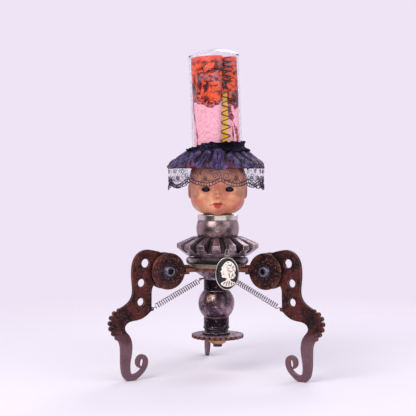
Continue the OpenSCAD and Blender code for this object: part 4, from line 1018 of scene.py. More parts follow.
def crease_shade_share(u, v):
    """Share of painted shade: 1 in the creases between the pleats and where they tuck in under the band, and
    0 on the pleats
    """
    number, share, width = pleat(hat_angle(u))
    away = min(share, 1 - share) * width * (40 + 22 * v)
    depth = 1.0 if number == FRONT_PLEAT or min(share, 1 - share) * width < 0.04 else 0.6
    strength = 1.0 if number == FRONT_PLEAT else 0.6 + 0.4 * math.sin(7 * number + 1)
    between = max(0.0, 1 - away / 2.6) * (1 - 0.45 * v)
    tuck = max(0.0, 1 - v / (0.16 if number == FRONT_PLEAT else 0.1))
    return min(1.0, max(between, tuck * strength) * depth * 1.3)


def smooth_support(place):
    """A plain form that holds the cloth up while it settles"""
    return finished("support", sheet_of_cloth(120, 12, place, (1, 1)), METALS["pipe"])


def make_ruffle(material):
    """The satin brim: it settles on a plain form, with its inner rows held by the band"""
    bm = sheet_of_cloth(RUFFLE_AROUND, RUFFLE_DOWN, ruffle_point, (RUFFLE_LENGTH, RUFFLE_RUN))
    # Shares of painted shade in the creases, which the satin reads
    crease = bm.verts.layers.float.new("crease")
    column, row = bm.verts.layers.int["column"], bm.verts.layers.int["row"]
    for vert in bm.verts:
        vert[crease] = crease_shade_share(vert[column] / RUFFLE_AROUND, vert[row] / RUFFLE_DOWN)
    made = finished("gathered_ruffle", bm, material, 180.0)
    support = smooth_support(lambda u, v: ruffle_point(u, v * 0.9, folded=0.0, below=5.5 * MM))
    settle(made, held_rows=2, frames=16, support=support)
    points = grid_points(made.data, RUFFLE_AROUND, RUFFLE_DOWN)
    thicken(made, 0.5 * MM)
    finer = made.modifiers.new("finer", "SUBSURF")
    finer.levels = finer.render_levels = 1
    stands_for(made, "satin_ruffle")
    return points


LACE_AROUND, LACE_DOWN = 480, 14
# Depth and length of the lace's flat map
LACE_DEPTH = 31 * MM
LACE_LENGTH = 0.46
LACE_SCALLOPS = 10
# How far the two chains and the middle of their rungs lie in from the lace's edge
LACE_CHAINS = (0.5 * MM, 2.6 * MM, 4.7 * MM)
LACE_RUNGS = 104
SCALLOP_DEPTH = 7 * MM
# The scallops meet a little right of the front
LACE_PEAK = math.radians(-86)


def scallop(u):
    """0 where two scallops meet, and 1 at the lowest place of each"""
    return abs(math.sin(LACE_SCALLOPS * (hat_angle(u) - LACE_PEAK) / 2))


def lace_edge(u):
    """Depth of the lace at its scalloped edge, which hangs lower at the sides"""
    front = 6 * MM * math.sin(hat_angle(u)) ** 2
    return LACE_DEPTH - front - SCALLOP_DEPTH * (1 - scallop(u))


def lace_point(ruffle, u, v):
    """The lace hangs from the ruffle's edge in shallow waves, straight across the creases"""
    column = round(u * RUFFLE_AROUND)
    near = [ruffle[(column + k) % RUFFLE_AROUND, RUFFLE_DOWN] for k in range(-18, 19, 3)]
    edge = np.mean(near, axis=0)
    angle = hat_angle(u)
    out = Vector((math.cos(angle), math.sin(angle), 0))
    wave = (0.2 + 1.1 * v) * MM * math.sin(LACE_SCALLOPS * 2 * angle + 1.4 * uneven(angle))
    drop = lace_edge(u) * v
    return Vector(edge) + out * (wave - 1.6 * MM * v - 0.5 * MM) + Vector((0, 0, 0.8 * MM - drop))


def on_lace(points, s, t):
    """The point of the lace at s round it and t down it, in shares"""
    column = (s % 1.0) * LACE_AROUND
    row = min(max(t, 0.0), 1.0) * LACE_DOWN
    c, r = int(column) % LACE_AROUND, min(int(row), LACE_DOWN - 1)
    fc, fr = column - int(column), row - r
    near = points[c, r] * (1 - fr) + points[c, r + 1] * fr
    far = points[(c + 1) % LACE_AROUND, r] * (1 - fr) + points[(c + 1) % LACE_AROUND, r + 1] * fr
    return near * (1 - fc) + far * fc


def drawn(points, s, down, shape):
    """A line on the lace from its own millimetres: across from s, and below the line that down gives"""
    path = []
    for across, drop in shape:
        at = s + across * MM / LACE_LENGTH
        path.append(on_lace(points, at, (down + drop) * MM / lace_edge(at)))
    return path


def spiral(centre, size, turns, start, side, steps=22):
    """A curl in millimetres, wound in towards its middle"""
    made = []
    for i in range(steps + 1):
        t = i / steps
        angle = start + turns * TURN * t
        radius = size * (1 - 0.72 * t)
        made.append((centre[0] + side * radius * math.cos(angle), centre[1] + radius * math.sin(angle)))
    return made


def petals(size, count):
    """A small rosette in millimetres"""
    made = []
    for i in range(count * 8 + 1):
        angle = TURN * i / (count * 8)
        radius = size * (0.55 + 0.45 * abs(math.sin(count * angle / 2)))
        made.append((radius * math.cos(angle), radius * math.sin(angle)))
    return made


def lace_sprigs(points):
    """The heavier threads over the net: curls, rosettes, leaves over each meeting of two scallops"""
    peak = (LACE_PEAK / TURN - 0.25) % 1.0
    lines = []
    for i in range(LACE_SCALLOPS):
        s = peak + i / LACE_SCALLOPS
        top = lace_edge(s) / MM
        for side in (-1, 1):
            lines.append(drawn(points, s, top, [(side * 2.6, -3.4), (side * 1.5, -6.4), (0, -9.6)]))
            outer = spiral((side * 8.2, 0.6), 5.2, 1.35, 0.4 * math.pi, side)
            lines.append(drawn(points, s, top - 8, outer))
            inner = spiral((side * 14.5, 2.0), 3.4, 1.2, 1.1 * math.pi, -side)
            lines.append(drawn(points, s, 4, inner))
        low = s + 0.5 / LACE_SCALLOPS
        lines.append(drawn(points, low, 15, petals(3.4, 5)))
        lines.append(drawn(points, low, 15, petals(1.2, 4)))
        for side in (-1, 1):
            leaf = [(side * 3.2, 1.6), (side * 6.4, 4.6), (side * 10, 4.2), (side * 12.6, 1)]
            lines.append(drawn(points, low, 15, leaf))
    return lines


def make_lace_cords(points, material):
    """The double chain along the scalloped edge with its rungs, and the sprigs over the net"""
    def above_edge(s, inset):
        return on_lace(points, s, 1 - inset / lace_edge(s))

    low, mid, high = LACE_CHAINS
    chains = [[above_edge(i / LACE_AROUND, inset) for i in range(LACE_AROUND)] for inset in (low, high)]
    rims = wires("lace_chain", chains, 0.64 * MM, material, closed=True, sides=0)
    steps = [(i + 0.5) / LACE_RUNGS for i in range(LACE_RUNGS)]
    rungs = [[above_edge(s, inset) for inset in (low, mid, high)] for s in steps]
    links = wires("lace_rungs", rungs, 0.5 * MM, material, sides=0)
    curls = wires("lace_sprigs", lace_sprigs(points), 0.36 * MM, material, sides=0)
    for made in (rims, links, curls):
        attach(made, "head")
    return [rims, links, curls]


def make_lace(ruffle, net_material, cord):
    """The lace hangs from the settled ruffle, and its cords follow the net"""
    size = (LACE_LENGTH, LACE_DEPTH)
    bm = sheet_of_cloth(LACE_AROUND, LACE_DOWN, lambda u, v: lace_point(ruffle, u, v), size)
    made = finished("lace_net", bm, net_material, 180.0)
    settle(made, held_rows=1, frames=14, bend=1.0, weight=0.15)
    points = grid_points(made.data, LACE_AROUND, LACE_DOWN)
    stands_for(made, "lace_trim")
    cords = make_lace_cords(points, cord)


ELASTIC_AROUND, ELASTIC_DOWN = 560, 18
# Depth and length of the elastic's flat map
ELASTIC_DEPTH = 19 * MM
ELASTIC_LENGTH = 0.4
# Radius and height over the jar's foot, in millimetres, from the frill down to the skirt on the satin
ELASTIC_SECTION = [
    (38.4, 17.6), (37.4, 15.6), (36.9, 13.0), (37.4, 10.4), (39.6, 8.6), (42.6, 6.8), (44.6, 4.4),
]


def elastic_point(u, v):
    """Gathered elastic round the jar's foot, frilled at its top and flared over the satin below"""
    angle = hat_angle(u)
    radius, height = on_section(ELASTIC_SECTION, v)
    phase = 46 * angle + 2.2 * uneven(angle)
    loose = 0.35 + 0.65 * abs(2 * v - 0.9) ** 1.3
    ruck = loose * (0.75 * math.cos(phase) + 0.5 * math.sin(79 * angle + 9 * v)) + 0.25
    wave = math.cos(19 * angle + 1.6 * uneven(angle))
    droop = min(1.0, max(0.0, (-0.45 - math.cos(angle)) / 0.5)) * (1 - v)
    radius += ruck + 0.6 * wave * max(0.0, 1 - 4 * v) + 4.5 * droop
    frill = 0.9 * wave + 0.5 * math.cos(31 * angle + 2) * math.sin(4 * angle)
    height += frill * max(0.0, 1 - 4 * v) + 0.7 * math.cos(phase + 1) * max(0.0, 3 * v - 2) - 8 * droop
    return IN_JAR @ Vector((radius * math.cos(angle) * MM, radius * math.sin(angle) * MM, height * MM))


def make_elastic(material):
    """The hat's band, shaped without a simulation"""
    bm = sheet_of_cloth(ELASTIC_AROUND, ELASTIC_DOWN, elastic_point, (ELASTIC_LENGTH, ELASTIC_DEPTH))
    made = finished("gathered_elastic", bm, material, 180.0)
    points = grid_points(made.data, ELASTIC_AROUND, ELASTIC_DOWN)
    thicken(made, 0.7 * MM)
    stands_for(made, "hat_band")


# Jar and what it holds

# The tumbler's radius, wall, height, the rise of its domed end and that end's thickness
JAR_R, JAR_WALL, JAR_H, DOME_RISE, END_T = 35 * MM, 2.5 * MM, 148 * MM, 9 * MM, 4 * MM
DOME_R = (JAR_R ** 2 + DOME_RISE ** 2) / (2 * DOME_RISE)
DOME_Z = JAR_H - DOME_R
PAPER_R = 31.9 * MM
PAPER_H = 135.4 * MM
# The long spring's radius and wire, and how far its middle stands from the tumbler's axis
COIL_R, COIL_WIRE, COIL_REACH = 6.8 * MM, 1.4 * MM, 25.1 * MM
# Numbers of wide and close turns, and the pitch of the wide ones against that of the close ones
COIL_WIDE, COIL_CLOSE, COIL_OPEN = 8, 5, 1.9
# Where the print's groove starts, and how far it turns on its way up
GROOVE_START, GROOVE_TURN = math.radians(-65.5), math.radians(21)


def dome(radius, reach):
    """Radius and height along the domed end, from its middle out"""
    angles = np.arange(15) / 14 * math.asin(reach / radius)
    return [(radius * math.sin(a), DOME_Z + radius * math.cos(a)) for a in angles]


def make_jar(material):
    """The tumbler, upside down: a fire-polished lip, a straight wall and a domed end"""
    lip = JAR_WALL / 2
    middle_r = JAR_R - lip
    rim = [(middle_r - lip * math.cos(a), lip - lip * math.sin(a)) for a in np.linspace(0, math.pi, 9)]
    outer = list(reversed(dome(DOME_R, JAR_R - 0.5 * MM)))
    corner = [(JAR_R, outer[0][1] - 1.4 * MM), (JAR_R - 0.12 * MM, outer[0][1] - 0.5 * MM)]
    inner = dome(DOME_R - END_T, JAR_R - JAR_WALL - 1.5 * MM)
    bore, shoulder_z = JAR_R - JAR_WALL, inner[-1][1]
    inside = [(bore - 0.3 * MM, shoulder_z - 0.8 * MM), (bore, shoulder_z - 2.6 * MM)]
    bm = spun([*rim, *corner, *outer, *inner, *inside], 160)
    made = finished("glass_tumbler", bm, material, 50.0)
    made.data.transform(IN_JAR)
    stands_for(made, "glass_jar")


def paper_radius(angle, z):
    """The print bends in where the spring stands"""
    turn = GROOVE_START + GROOVE_TURN * z / PAPER_H
    away = math.atan2(math.sin(angle - turn), math.cos(angle - turn))
    side = PAPER_R * math.sin(min(abs(away), math.pi / 2))
    depth = PAPER_R - (COIL_REACH - COIL_R - 1.6 * MM)
    return PAPER_R - depth * (0.5 + 0.5 * math.cos(math.pi * min(1.0, side / (18 * MM))))


def make_print(material):
    """The rolled paper, with a flat map that follows its length round the groove"""
    around, down = 320, 48

    def place(u, v):
        angle = hat_angle(u)
        z = PAPER_H * (1 - v)
        radius = paper_radius(angle, z) + 0.15 * MM * math.sin(3 * angle + 20 * z)
        return IN_JAR @ Vector((radius * math.cos(angle), radius * math.sin(angle), z + 0.2 * MM))

    bm = sheet_of_cloth(around, down, place, (TURN * PAPER_R, PAPER_H))
    flat = bm.loops.layers.uv["flat"]
    ring = np.array([place(i / around, 0.5) for i in range(around + 1)])
    plain = np.linspace(0, TURN * PAPER_R, around + 1)
    along = np.concatenate([[0], np.cumsum(np.linalg.norm(np.diff(ring, axis=0), axis=1))])
    for face in bm.faces:
        for loop in face.loops:
            loop[flat].uv = (float(np.interp(loop[flat].uv.x, plain, along)), PAPER_H - loop[flat].uv.y)
    made = finished("rolled_print", bm, material, 60.0)
    thicken(made, 0.35 * MM, -1.0)
    stands_for(made, "print_roll")


def make_jar_spring():
    """The long spring: wide turns below, close ones above"""
    foot, top = COIL_WIRE / 2 + 0.2 * MM, PAPER_H - COIL_WIRE
    close = (top - foot) / (COIL_CLOSE + COIL_OPEN * COIL_WIDE)
    path = []
    per_turn = 36
    for i in range((COIL_WIDE + COIL_CLOSE) * per_turn + 1):
        t = i / per_turn
        z = foot + COIL_OPEN * close * min(t, COIL_WIDE) + close * max(t - COIL_WIDE, 0)
        turn = GROOVE_START + GROOVE_TURN * z / PAPER_H
        x = COIL_REACH * math.cos(turn) + (COIL_R - COIL_WIRE / 2) * math.cos(TURN * t)
        y = COIL_REACH * math.sin(turn) + (COIL_R - COIL_WIRE / 2) * math.sin(TURN * t)
        path.append((x, y, z))
    made = wires("long_spring", [path], COIL_WIRE / 2, METALS["old spring"], matrix=IN_JAR)
    stands_for(made, "jar_spring")


# Leg springs

# How far out the collar's studs and the legs' spring eyes stand, the studs' radius and the eyes' height
STUD_REACH, STUD_BALL_R = 27.5 * MM, 2 * MM
EYE_REACH, EYE_Z = 102.5 * MM, 95 * MM
SPRING_R, SPRING_WIRE, SPRING_TURNS = 3.9 * MM, 1.15 * MM, 21
# How much of the run the hooks at the stud and at the leg's eye take, and the radius of the open hook
HOOK_TOP, HOOK_LOW, HOOK_R = 3.6 * MM, 7.8 * MM, 1.6 * MM


def make_leg_spring(leg):
    """A thin tension spring with a hook at each end, from the collar's stud to the leg's eye"""
    stud_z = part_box("fluted_collar")[0].z + 0.5 * MM
    top, low = Vector((STUD_REACH, 0, stud_z)), Vector((EYE_REACH, 0, EYE_Z))
    run = (low - top).length
    length = run - HOOK_TOP - HOOK_LOW
    path = [(0, 0, STUD_BALL_R - 0.6 * MM), (0, 0, STUD_BALL_R + 1.2 * MM)]
    per_turn = 20
    coil_r = SPRING_R - SPRING_WIRE / 2
    for i in range(SPRING_TURNS * per_turn + 1):
        t = i / per_turn
        z = HOOK_TOP + length * t / SPRING_TURNS
        path.append((coil_r * math.cos(TURN * t), coil_r * math.sin(TURN * t), z))
    for x, y, back in ((1.4, 0, 6.6), (0.2, 0.3, 5), (-0.2, 1.6, 3.4)):
        path.append((x * MM, y * MM, run - back * MM))
    for i in range(13):
        a = math.pi * i / 12
        path.append((-0.2 * MM, HOOK_R * (math.cos(a) + 1 - i / 12), run - 1.2 * MM * (1 - math.sin(a))))
    slope = math.atan2(top.z - low.z, low.x - top.x)
    matrix = leg_frame(leg) @ Matrix.Translation(top) @ Matrix.Rotation(math.pi / 2 + slope, 4, "Y")
    made = wires(f"tension_spring_{leg}", [path], SPRING_WIRE / 2, METALS["spring"], sides=1, matrix=matrix)
    # Share of the pale painted reflection: 1 on the inner side of each turn
    inner = made.data.attributes.new("inner", "FLOAT", "POINT")
    unplaced = matrix.inverted()
    for vert, value in zip(made.data.vertices, inner.data):
        away = (unplaced @ vert.co).to_2d().length
        share = 0.35 + 2 * (coil_r - away) / SPRING_WIRE
        value.value = min(1.0, max(0.0, share)) if away > coil_r / 2 else 0.0
    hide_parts(f"spring_{leg}")
    leg_frame(leg) @ top
    leg_frame(leg) @ low
    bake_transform(made)


# Doll's head

# In millimetres from the chin: the middle that the skin is measured from, and the eyes' openings
HEAD_MID = np.array((0.0, 2.0, 38.0))
OPENING_X, OPENING_Z = 16.2, 35.3
OPENING_HALF_WIDE, OPENING_HALF_HIGH = 5.7, 3.1
# The glass eyes' radius and their places from the chin
EYE_R, EYE_X, EYE_Y, EYE_UP = 6.5 * MM, 16 * MM, -32.6 * MM, 35.5 * MM


def blob(p, centre, radii):
    """Rough distance in millimetres from an ellipsoid, negative inside it"""
    scaled = (p - np.array(centre)) / np.array(radii)
    length = np.linalg.norm(scaled, axis=1)
    return (length - 1) * min(radii)


def joined(parts, softness):
    """Soft union of distances"""
    return -softness * np.log(sum(np.exp(-d / softness) for d in parts))


def head_form(p):
    """The doll's head in millimetres from its chin: negative inside"""
    half = np.column_stack([np.abs(p[:, 0]), p[:, 1], p[:, 2]])
    skull = blob(p, (0, 2, 47), (39.6, 40, 44))
    cheek = blob(half, (16, -13.5, 21.5), (20.8, 21, 19.6))
    jaw = blob(p, (0, -6, 25), (29, 29, 23.5))
    chin = blob(p, (0, -27, 9.8), (11, 10.8, 9.6))
    form = joined([skull, cheek, jaw, chin], 2.4)
    nose = blob(p, (0, -38.4, 26.2), (4.8, 5.0, 3.9))
    bridge = blob(p, (0, -35.4, 32), (3.4, 4.2, 8))
    wing = blob(half, (3.4, -37.0, 24.6), (2.4, 2.9, 2.2))
    muzzle = blob(p, (0, -32.8, 14.5), (11, 6.4, 7.6))
    upper_lip = blob(half, (2.3, -37.9, 15.3), (3.6, 2.3, 1.6))
    lower_lip = blob(p, (0, -37.7, 12.2), (4.6, 2.6, 1.9))
    lid = blob(half, (16.2, -32.6, 35.9), (9.4, 7.9, 7.6))
    brow = blob(half, (13, -31.8, 44.5), (9, 7.2, 4))
    puff = blob(half, (21.6, -27, 20), (11.4, 10.5, 10.5))
    ear = blob(half, (38.2, 4.5, 32), (3.6, 6.0, 9.6))
    form = joined([form, muzzle, lid, brow, puff], 1.5)
    form = joined([form, ear], 1.8)
    form = joined([form, nose, bridge, wing], 1.1)
    return joined([form, upper_lip, lower_lip], 0.45)


def make_head(material):
    """A hollow head: points of a sphere, closer together on the face, pulled in to the head's form"""
    bm = bmesh.new()
    bmesh.ops.create_uvsphere(bm, u_segments=208, v_segments=168, radius=1.0)
    bmesh.ops.rotate(bm, verts=bm.verts, matrix=Matrix.Rotation(math.pi / 2, 3, "X"))
    way = np.array([v.co for v in bm.verts])
    polar = np.arccos(np.clip(-way[:, 1], -1, 1))
    closer = math.pi * (polar / math.pi) ** 1.45
    flat = np.hypot(way[:, 0], way[:, 2])
    scale = np.where(flat > 1e-9, np.sin(closer) / np.maximum(flat, 1e-9), 0)
    way = np.column_stack([way[:, 0] * scale, -np.cos(closer), way[:, 2] * scale])
    low, high = np.full(len(way), 10.0), np.full(len(way), 75.0)
    for _ in range(22):
        middle_r = (low + high) / 2
        inside = head_form(HEAD_MID + way * middle_r[:, None]) < 0
        low, high = np.where(inside, middle_r, low), np.where(inside, high, middle_r)
    skin = HEAD_MID + way * low[:, None]
    half = np.abs(skin[:, 0])
    wide = np.abs((half - OPENING_X) / OPENING_HALF_WIDE)
    tall = np.abs((skin[:, 2] - OPENING_Z) / OPENING_HALF_HIGH)
    for_eye = (wide ** 2.4 + tall ** 2.4) ** (1 / 2.4)
    sink = np.clip((1.06 - for_eye) / 0.12, 0, 1) * (skin[:, 1] < -20)
    skin += np.array([0, 3.2, 0]) * sink[:, None]
    concha = np.hypot((skin[:, 1] - 3.5) / 3.2, (skin[:, 2] - 32.5) / 5.6)
    dent = np.clip(1.2 - concha, 0, 1) * (half > 36)
    skin[:, 0] -= np.sign(skin[:, 0]) * 2.0 * dent
    for vert, co in zip(bm.verts, skin):
        vert.co = AXIS + Vector((0, 0, CHIN_Z)) + Vector(co) * MM
    crown_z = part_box("doll_head")[1].z - 0.2 * MM
    for z, outward in ((crown_z, 1), (CHIN_Z + 0.1 * MM, -1)):
        everything = [*bm.verts, *bm.edges, *bm.faces]
        level = AXIS + Vector((0, 0, z))
        bmesh.ops.bisect_plane(bm, geom=everything, plane_co=level, plane_no=(0, 0, outward),
                               clear_outer=True)
    made = finished("painted_head", bm, material, 60.0)
    thicken(made, 2.6 * MM, -1.0)
    stands_for(made, "doll_head")


def make_eyes():
    """Two glass balls behind the eyes' openings"""
    for name, x in (("left", -EYE_X), ("right", EYE_X)):
        bm = bmesh.new()
        bmesh.ops.create_uvsphere(bm, u_segments=48, v_segments=32, radius=EYE_R)
        bmesh.ops.translate(bm, verts=bm.verts, vec=AXIS + Vector((x, EYE_Y, CHIN_Z + EYE_UP)))
        made = finished(f"glass_eye_{name}", bm, eye_material(x), 180.0)
        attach(made, "head")
        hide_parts("doll_eyes")


# Pendant

# Half width, half height and thickness of the bezel
PENDANT_A, PENDANT_B, BEZEL_T = 16 * MM, 22.2 * MM, 5 * MM
BAIL = middle("pendant_bail")
PENDANT = Vector((BAIL.x, BAIL.y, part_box("pendant_bezel")[0].z + PENDANT_B))
# How far the edge of the cameo's ground stands in front of the bezel's middle
GROUND_FRONT = BEZEL_T / 2 - 2.4 * MM


def oval_rings(rings, segments=96):
    """A closed piece through oval rings, by their insets from the bezel's outline and depths to the front"""
    bm = bmesh.new()
    loops = []
    for inset, depth in rings:
        made = bmesh.ops.create_circle(bm, cap_ends=False, segments=segments, radius=1.0)["verts"]
        bmesh.ops.rotate(bm, verts=made, matrix=Matrix.Rotation(math.pi / 2, 3, "X"))
        bmesh.ops.scale(bm, verts=made, vec=(PENDANT_A - inset, 1, PENDANT_B - inset))
        bmesh.ops.translate(bm, verts=made, vec=PENDANT + Vector((0, -depth, 0)))
        loops.append([e for e in bm.edges if e.verts[0] in made and e.verts[1] in made])
    for one, other in zip(loops, loops[1:]):
        bmesh.ops.bridge_loops(bm, edges=one + other)
    for loop in (loops[0], loops[-1]):
        bmesh.ops.contextual_create(bm, geom=[e for e in bm.edges if e in set(loop)])
    return bm


def make_bezel(material):
    """A stamped oval setting: a rounded rim with a bead line round it, and a plain back"""
    half = BEZEL_T / 2
    rings = [(1.6 * MM, half - 2.3 * MM), (1.5 * MM, half - 0.6 * MM), (1.2 * MM, half - 0.15 * MM),
             (0.75 * MM, half), (0.3 * MM, half - 0.2 * MM), (0.02 * MM, half - 0.8 * MM),
             (0.25 * MM, half - 1.4 * MM), (0.02 * MM, half - 2.0 * MM), (0, -half + 0.7 * MM),
             (0.7 * MM, -half)]
    made = finished("oval_bezel", oval_rings(rings), material, 50.0)
    stands_for(made, "pendant_bezel")


def make_ground(material):
    """The dark ground, slightly domed"""
    domed = ((1.7, 0), (1.7, 0.9), (2.2, 1.25), (4.5, 1.45), (9, 1.58), (15.6, 1.6))
    rings = [(inset * MM, GROUND_FRONT + rise * MM) for inset, rise in domed]
    made = finished("cameo_oval", oval_rings(rings), material, 40.0)
    stands_for(made, "cameo_ground")


def smooth_outline(points, steps=5):
    """A closed curve through the points"""
    count = len(points)
    made = []
    for i in range(count):
        a, b, c, d = (np.array(points[(i + k) % count], float) for k in (-1, 0, 1, 2))
        for t in np.linspace(0, 1, steps, endpoint=False):
            bend = (2 * a - 5 * b + 4 * c - d) * t * t + (3 * b - a - 3 * c + d) * t ** 3
            made.append(0.5 * (2 * b + (c - a) * t + bend))
    return made


# The bust in shares of the pendant's half width and half height, as in the relief's own solid
BUST = [
    (-0.3, 0.52), (-0.1, 0.68), (0.16, 0.74), (0.42, 0.66), (0.6, 0.5), (0.7, 0.28), (0.62, 0.06),
    (0.66, -0.12), (0.5, -0.26), (0.3, -0.3), (0.34, -0.44), (0.62, -0.52), (0.68, -0.6), (0.4, -0.74),
    (0, -0.8), (-0.4, -0.72), (-0.52, -0.58), (-0.3, -0.48), (-0.1, -0.4), (-0.12, -0.26), (-0.36, -0.24),
    (-0.46, -0.16), (-0.42, -0.08), (-0.5, -0.02), (-0.44, 0.04), (-0.56, 0.12), (-0.44, 0.24),
    (-0.46, 0.38),
]
HAIR = [
    (-0.36, 0.44), (-0.2, 0.64), (0.1, 0.76), (0.4, 0.7), (0.62, 0.52), (0.72, 0.28), (0.66, 0.04),
    (0.7, -0.14), (0.5, -0.3), (0.3, -0.28), (0.2, -0.1), (0.16, 0.1), (0.0, 0.26), (-0.2, 0.34),
]
# Curls of the hair: centre and size, in the same shares
CURLS = [
    (-0.2, 0.5, 0.12), (0.02, 0.6, 0.13), (0.26, 0.6, 0.12), (0.46, 0.5, 0.12), (0.58, 0.32, 0.11),
    (0.56, 0.12, 0.12), (0.6, -0.08, 0.1), (0.46, -0.2, 0.1), (0.3, -0.18, 0.09), (0.34, 0.02, 0.12),
    (0.36, 0.26, 0.14), (0.14, 0.4, 0.14), (-0.06, 0.4, 0.1),
]
# Dark cuts in the dress, the hair and the face: from, to
CUTS = [
    ((-0.14, -0.5), (-0.32, -0.64)), ((0.04, -0.46), (-0.1, -0.72)), ((0.2, -0.44), (0.14, -0.74)),
    ((0.34, -0.5), (0.38, -0.7)), ((0.48, -0.54), (0.58, -0.62)), ((0.14, 0.02), (0.22, -0.24)),
    ((0.46, 0.42), (0.5, 0.2)), ((0.26, 0.5), (0.06, 0.52)), ((0.42, 0.02), (0.48, -0.14)),
    ((0.2, 0.2), (0.28, 0.04)), ((0.06, 0.28), (0.24, 0.38)), ((-0.1, 0.58), (-0.26, 0.44)),
    ((0.4, 0.62), (0.3, 0.44)), ((0.6, 0.24), (0.66, 0.02)), ((-0.24, -0.03), (-0.34, -0.02)),
    ((0.0, -0.3), (-0.16, -0.34)), ((0.34, 0.14), (0.44, 0.12)), ((0.54, 0.0), (0.58, -0.18)),
    ((0.14, 0.66), (0.0, 0.7)), ((-0.04, 0.46), (0.02, 0.34)), ((0.34, -0.24), (0.4, -0.12)),
    ((0.12, 0.16), (0.04, 0.22)), ((0.36, 0.34), (0.3, 0.22)), ((0.52, 0.5), (0.58, 0.36)),
]


def carved(bm, outline, front, height, round_off):
    """A carved layer from a closed outline, with its front edge rounded off"""
    verts = [bm.verts.new(PENDANT + Vector((x * PENDANT_A, -front, z * PENDANT_B))) for x, z in outline]
    face = bm.faces.new(verts)
    made = bmesh.ops.extrude_face_region(bm, geom=[face])["geom"]
    moved = [g for g in made if isinstance(g, bmesh.types.BMVert)]
    bmesh.ops.translate(bm, verts=moved, vec=(0, -height, 0))
    rim = [e for e in bm.edges if e.verts[0] in moved and e.verts[1] in moved]
    round_edges(bm, rim, round_off, 3)


def pressed_ball(bm, x, z, front, radii, turn=0.0):
    """A flattened ball set on the relief"""
    made = bmesh.ops.create_uvsphere(bm, u_segments=20, v_segments=12, radius=1.0)["verts"]
    bmesh.ops.scale(bm, verts=made, vec=radii)
    bmesh.ops.rotate(bm, verts=made, matrix=Matrix.Rotation(turn, 3, "Y"))
    bmesh.ops.translate(bm, verts=made, vec=PENDANT + Vector((x * PENDANT_A, -front, z * PENDANT_B)))


def make_relief(ivory, dark):
    """An ivory bust in profile: bare neck, curled hair and a pleated dress, with dark cuts"""
    front = GROUND_FRONT + 1.5 * MM
    bm = bmesh.new()
    carved(bm, smooth_outline(BUST), front, 0.9 * MM, 0.5 * MM)
    carved(bm, smooth_outline(HAIR), front + 0.5 * MM, 0.8 * MM, 0.4 * MM)
    pressed_ball(bm, -0.16, 0.08, front + 0.85 * MM, (3.6 * MM, 0.7 * MM, 4.4 * MM))
    pressed_ball(bm, -0.3, -0.12, front + 0.8 * MM, (1.6 * MM, 0.5 * MM, 1.4 * MM))
    pressed_ball(bm, 0.08, -0.3, front + 0.75 * MM, (2.4 * MM, 0.6 * MM, 4.2 * MM), 0.2)
    for x, z, size in CURLS:
        pressed_ball(bm, x, z, front + 1.25 * MM, (size * PENDANT_A, 0.55 * MM, size * PENDANT_A * 0.9), 0.5)
    for i in range(7):
        pressed_ball(bm, -0.34 + 0.13 * i, -0.6 + 0.02 * (i % 2), front + 0.8 * MM,
                     (0.75 * MM, 0.5 * MM, 2.6 * MM), 0.5 - 0.17 * i)
    made = finished("ivory_bust", bm, ivory, 50.0)
    stands_for(made, "cameo_relief")
    cuts = []
    for ends in CUTS:
        cuts.append([PENDANT + Vector((x * PENDANT_A, -front - 1.28 * MM, z * PENDANT_B)) for x, z in ends])
    eye = PENDANT + Vector((-0.36 * PENDANT_A, -front - 1.1 * MM, 0.1 * PENDANT_B))
    cuts.append([eye, eye + Vector((1.1 * MM, -0.1 * MM, 0.25 * MM))])
    lines = wires("bust_cuts", cuts, 0.46 * MM, dark)
    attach(lines, "pendant")


def make_bail(material):
    """The bent wire link between the neck wire's eye and the bezel's ring"""
    low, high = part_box("pendant_bail")
    mid = (low + high) / 2
    wire = 0.4 * MM
    top, bottom = high.z - wire, low.z + wire
    shape = [(-1.5, top - 0.4 * MM), (-0.75, top), (0.75, top), (1.5, top - 0.4 * MM), (2.25, mid.z),
             (3, bottom + 0.4 * MM), (1.5, bottom), (-1.5, bottom), (-3, bottom + 0.4 * MM), (-2.25, mid.z)]
    path = [(mid.x + p[0] * MM, mid.y, p[1]) for p in smooth_outline(shape)]
    made = wires("wire_bail", [path], wire, material, closed=True)
    stands_for(made, "pendant_bail")


def make_pendant_loop(material):
    """The ring on top of the bezel that the bail goes through"""
    centre = Vector((PENDANT.x, PENDANT.y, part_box("pendant_bezel")[1].z - 2.0 * MM))
    radius, steps = 1.5 * MM, 32
    angles = [TURN * i / steps for i in range(steps)]
    ring = [centre + radius * Vector((0, math.cos(a), math.sin(a))) for a in angles]
    made = wires("bezel_loop", [ring], 0.5 * MM, material, closed=True)
    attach(made, "pendant")


# Radius of the swelling neck barrel where the wire lies round it
NECK_R = 28.15 * MM


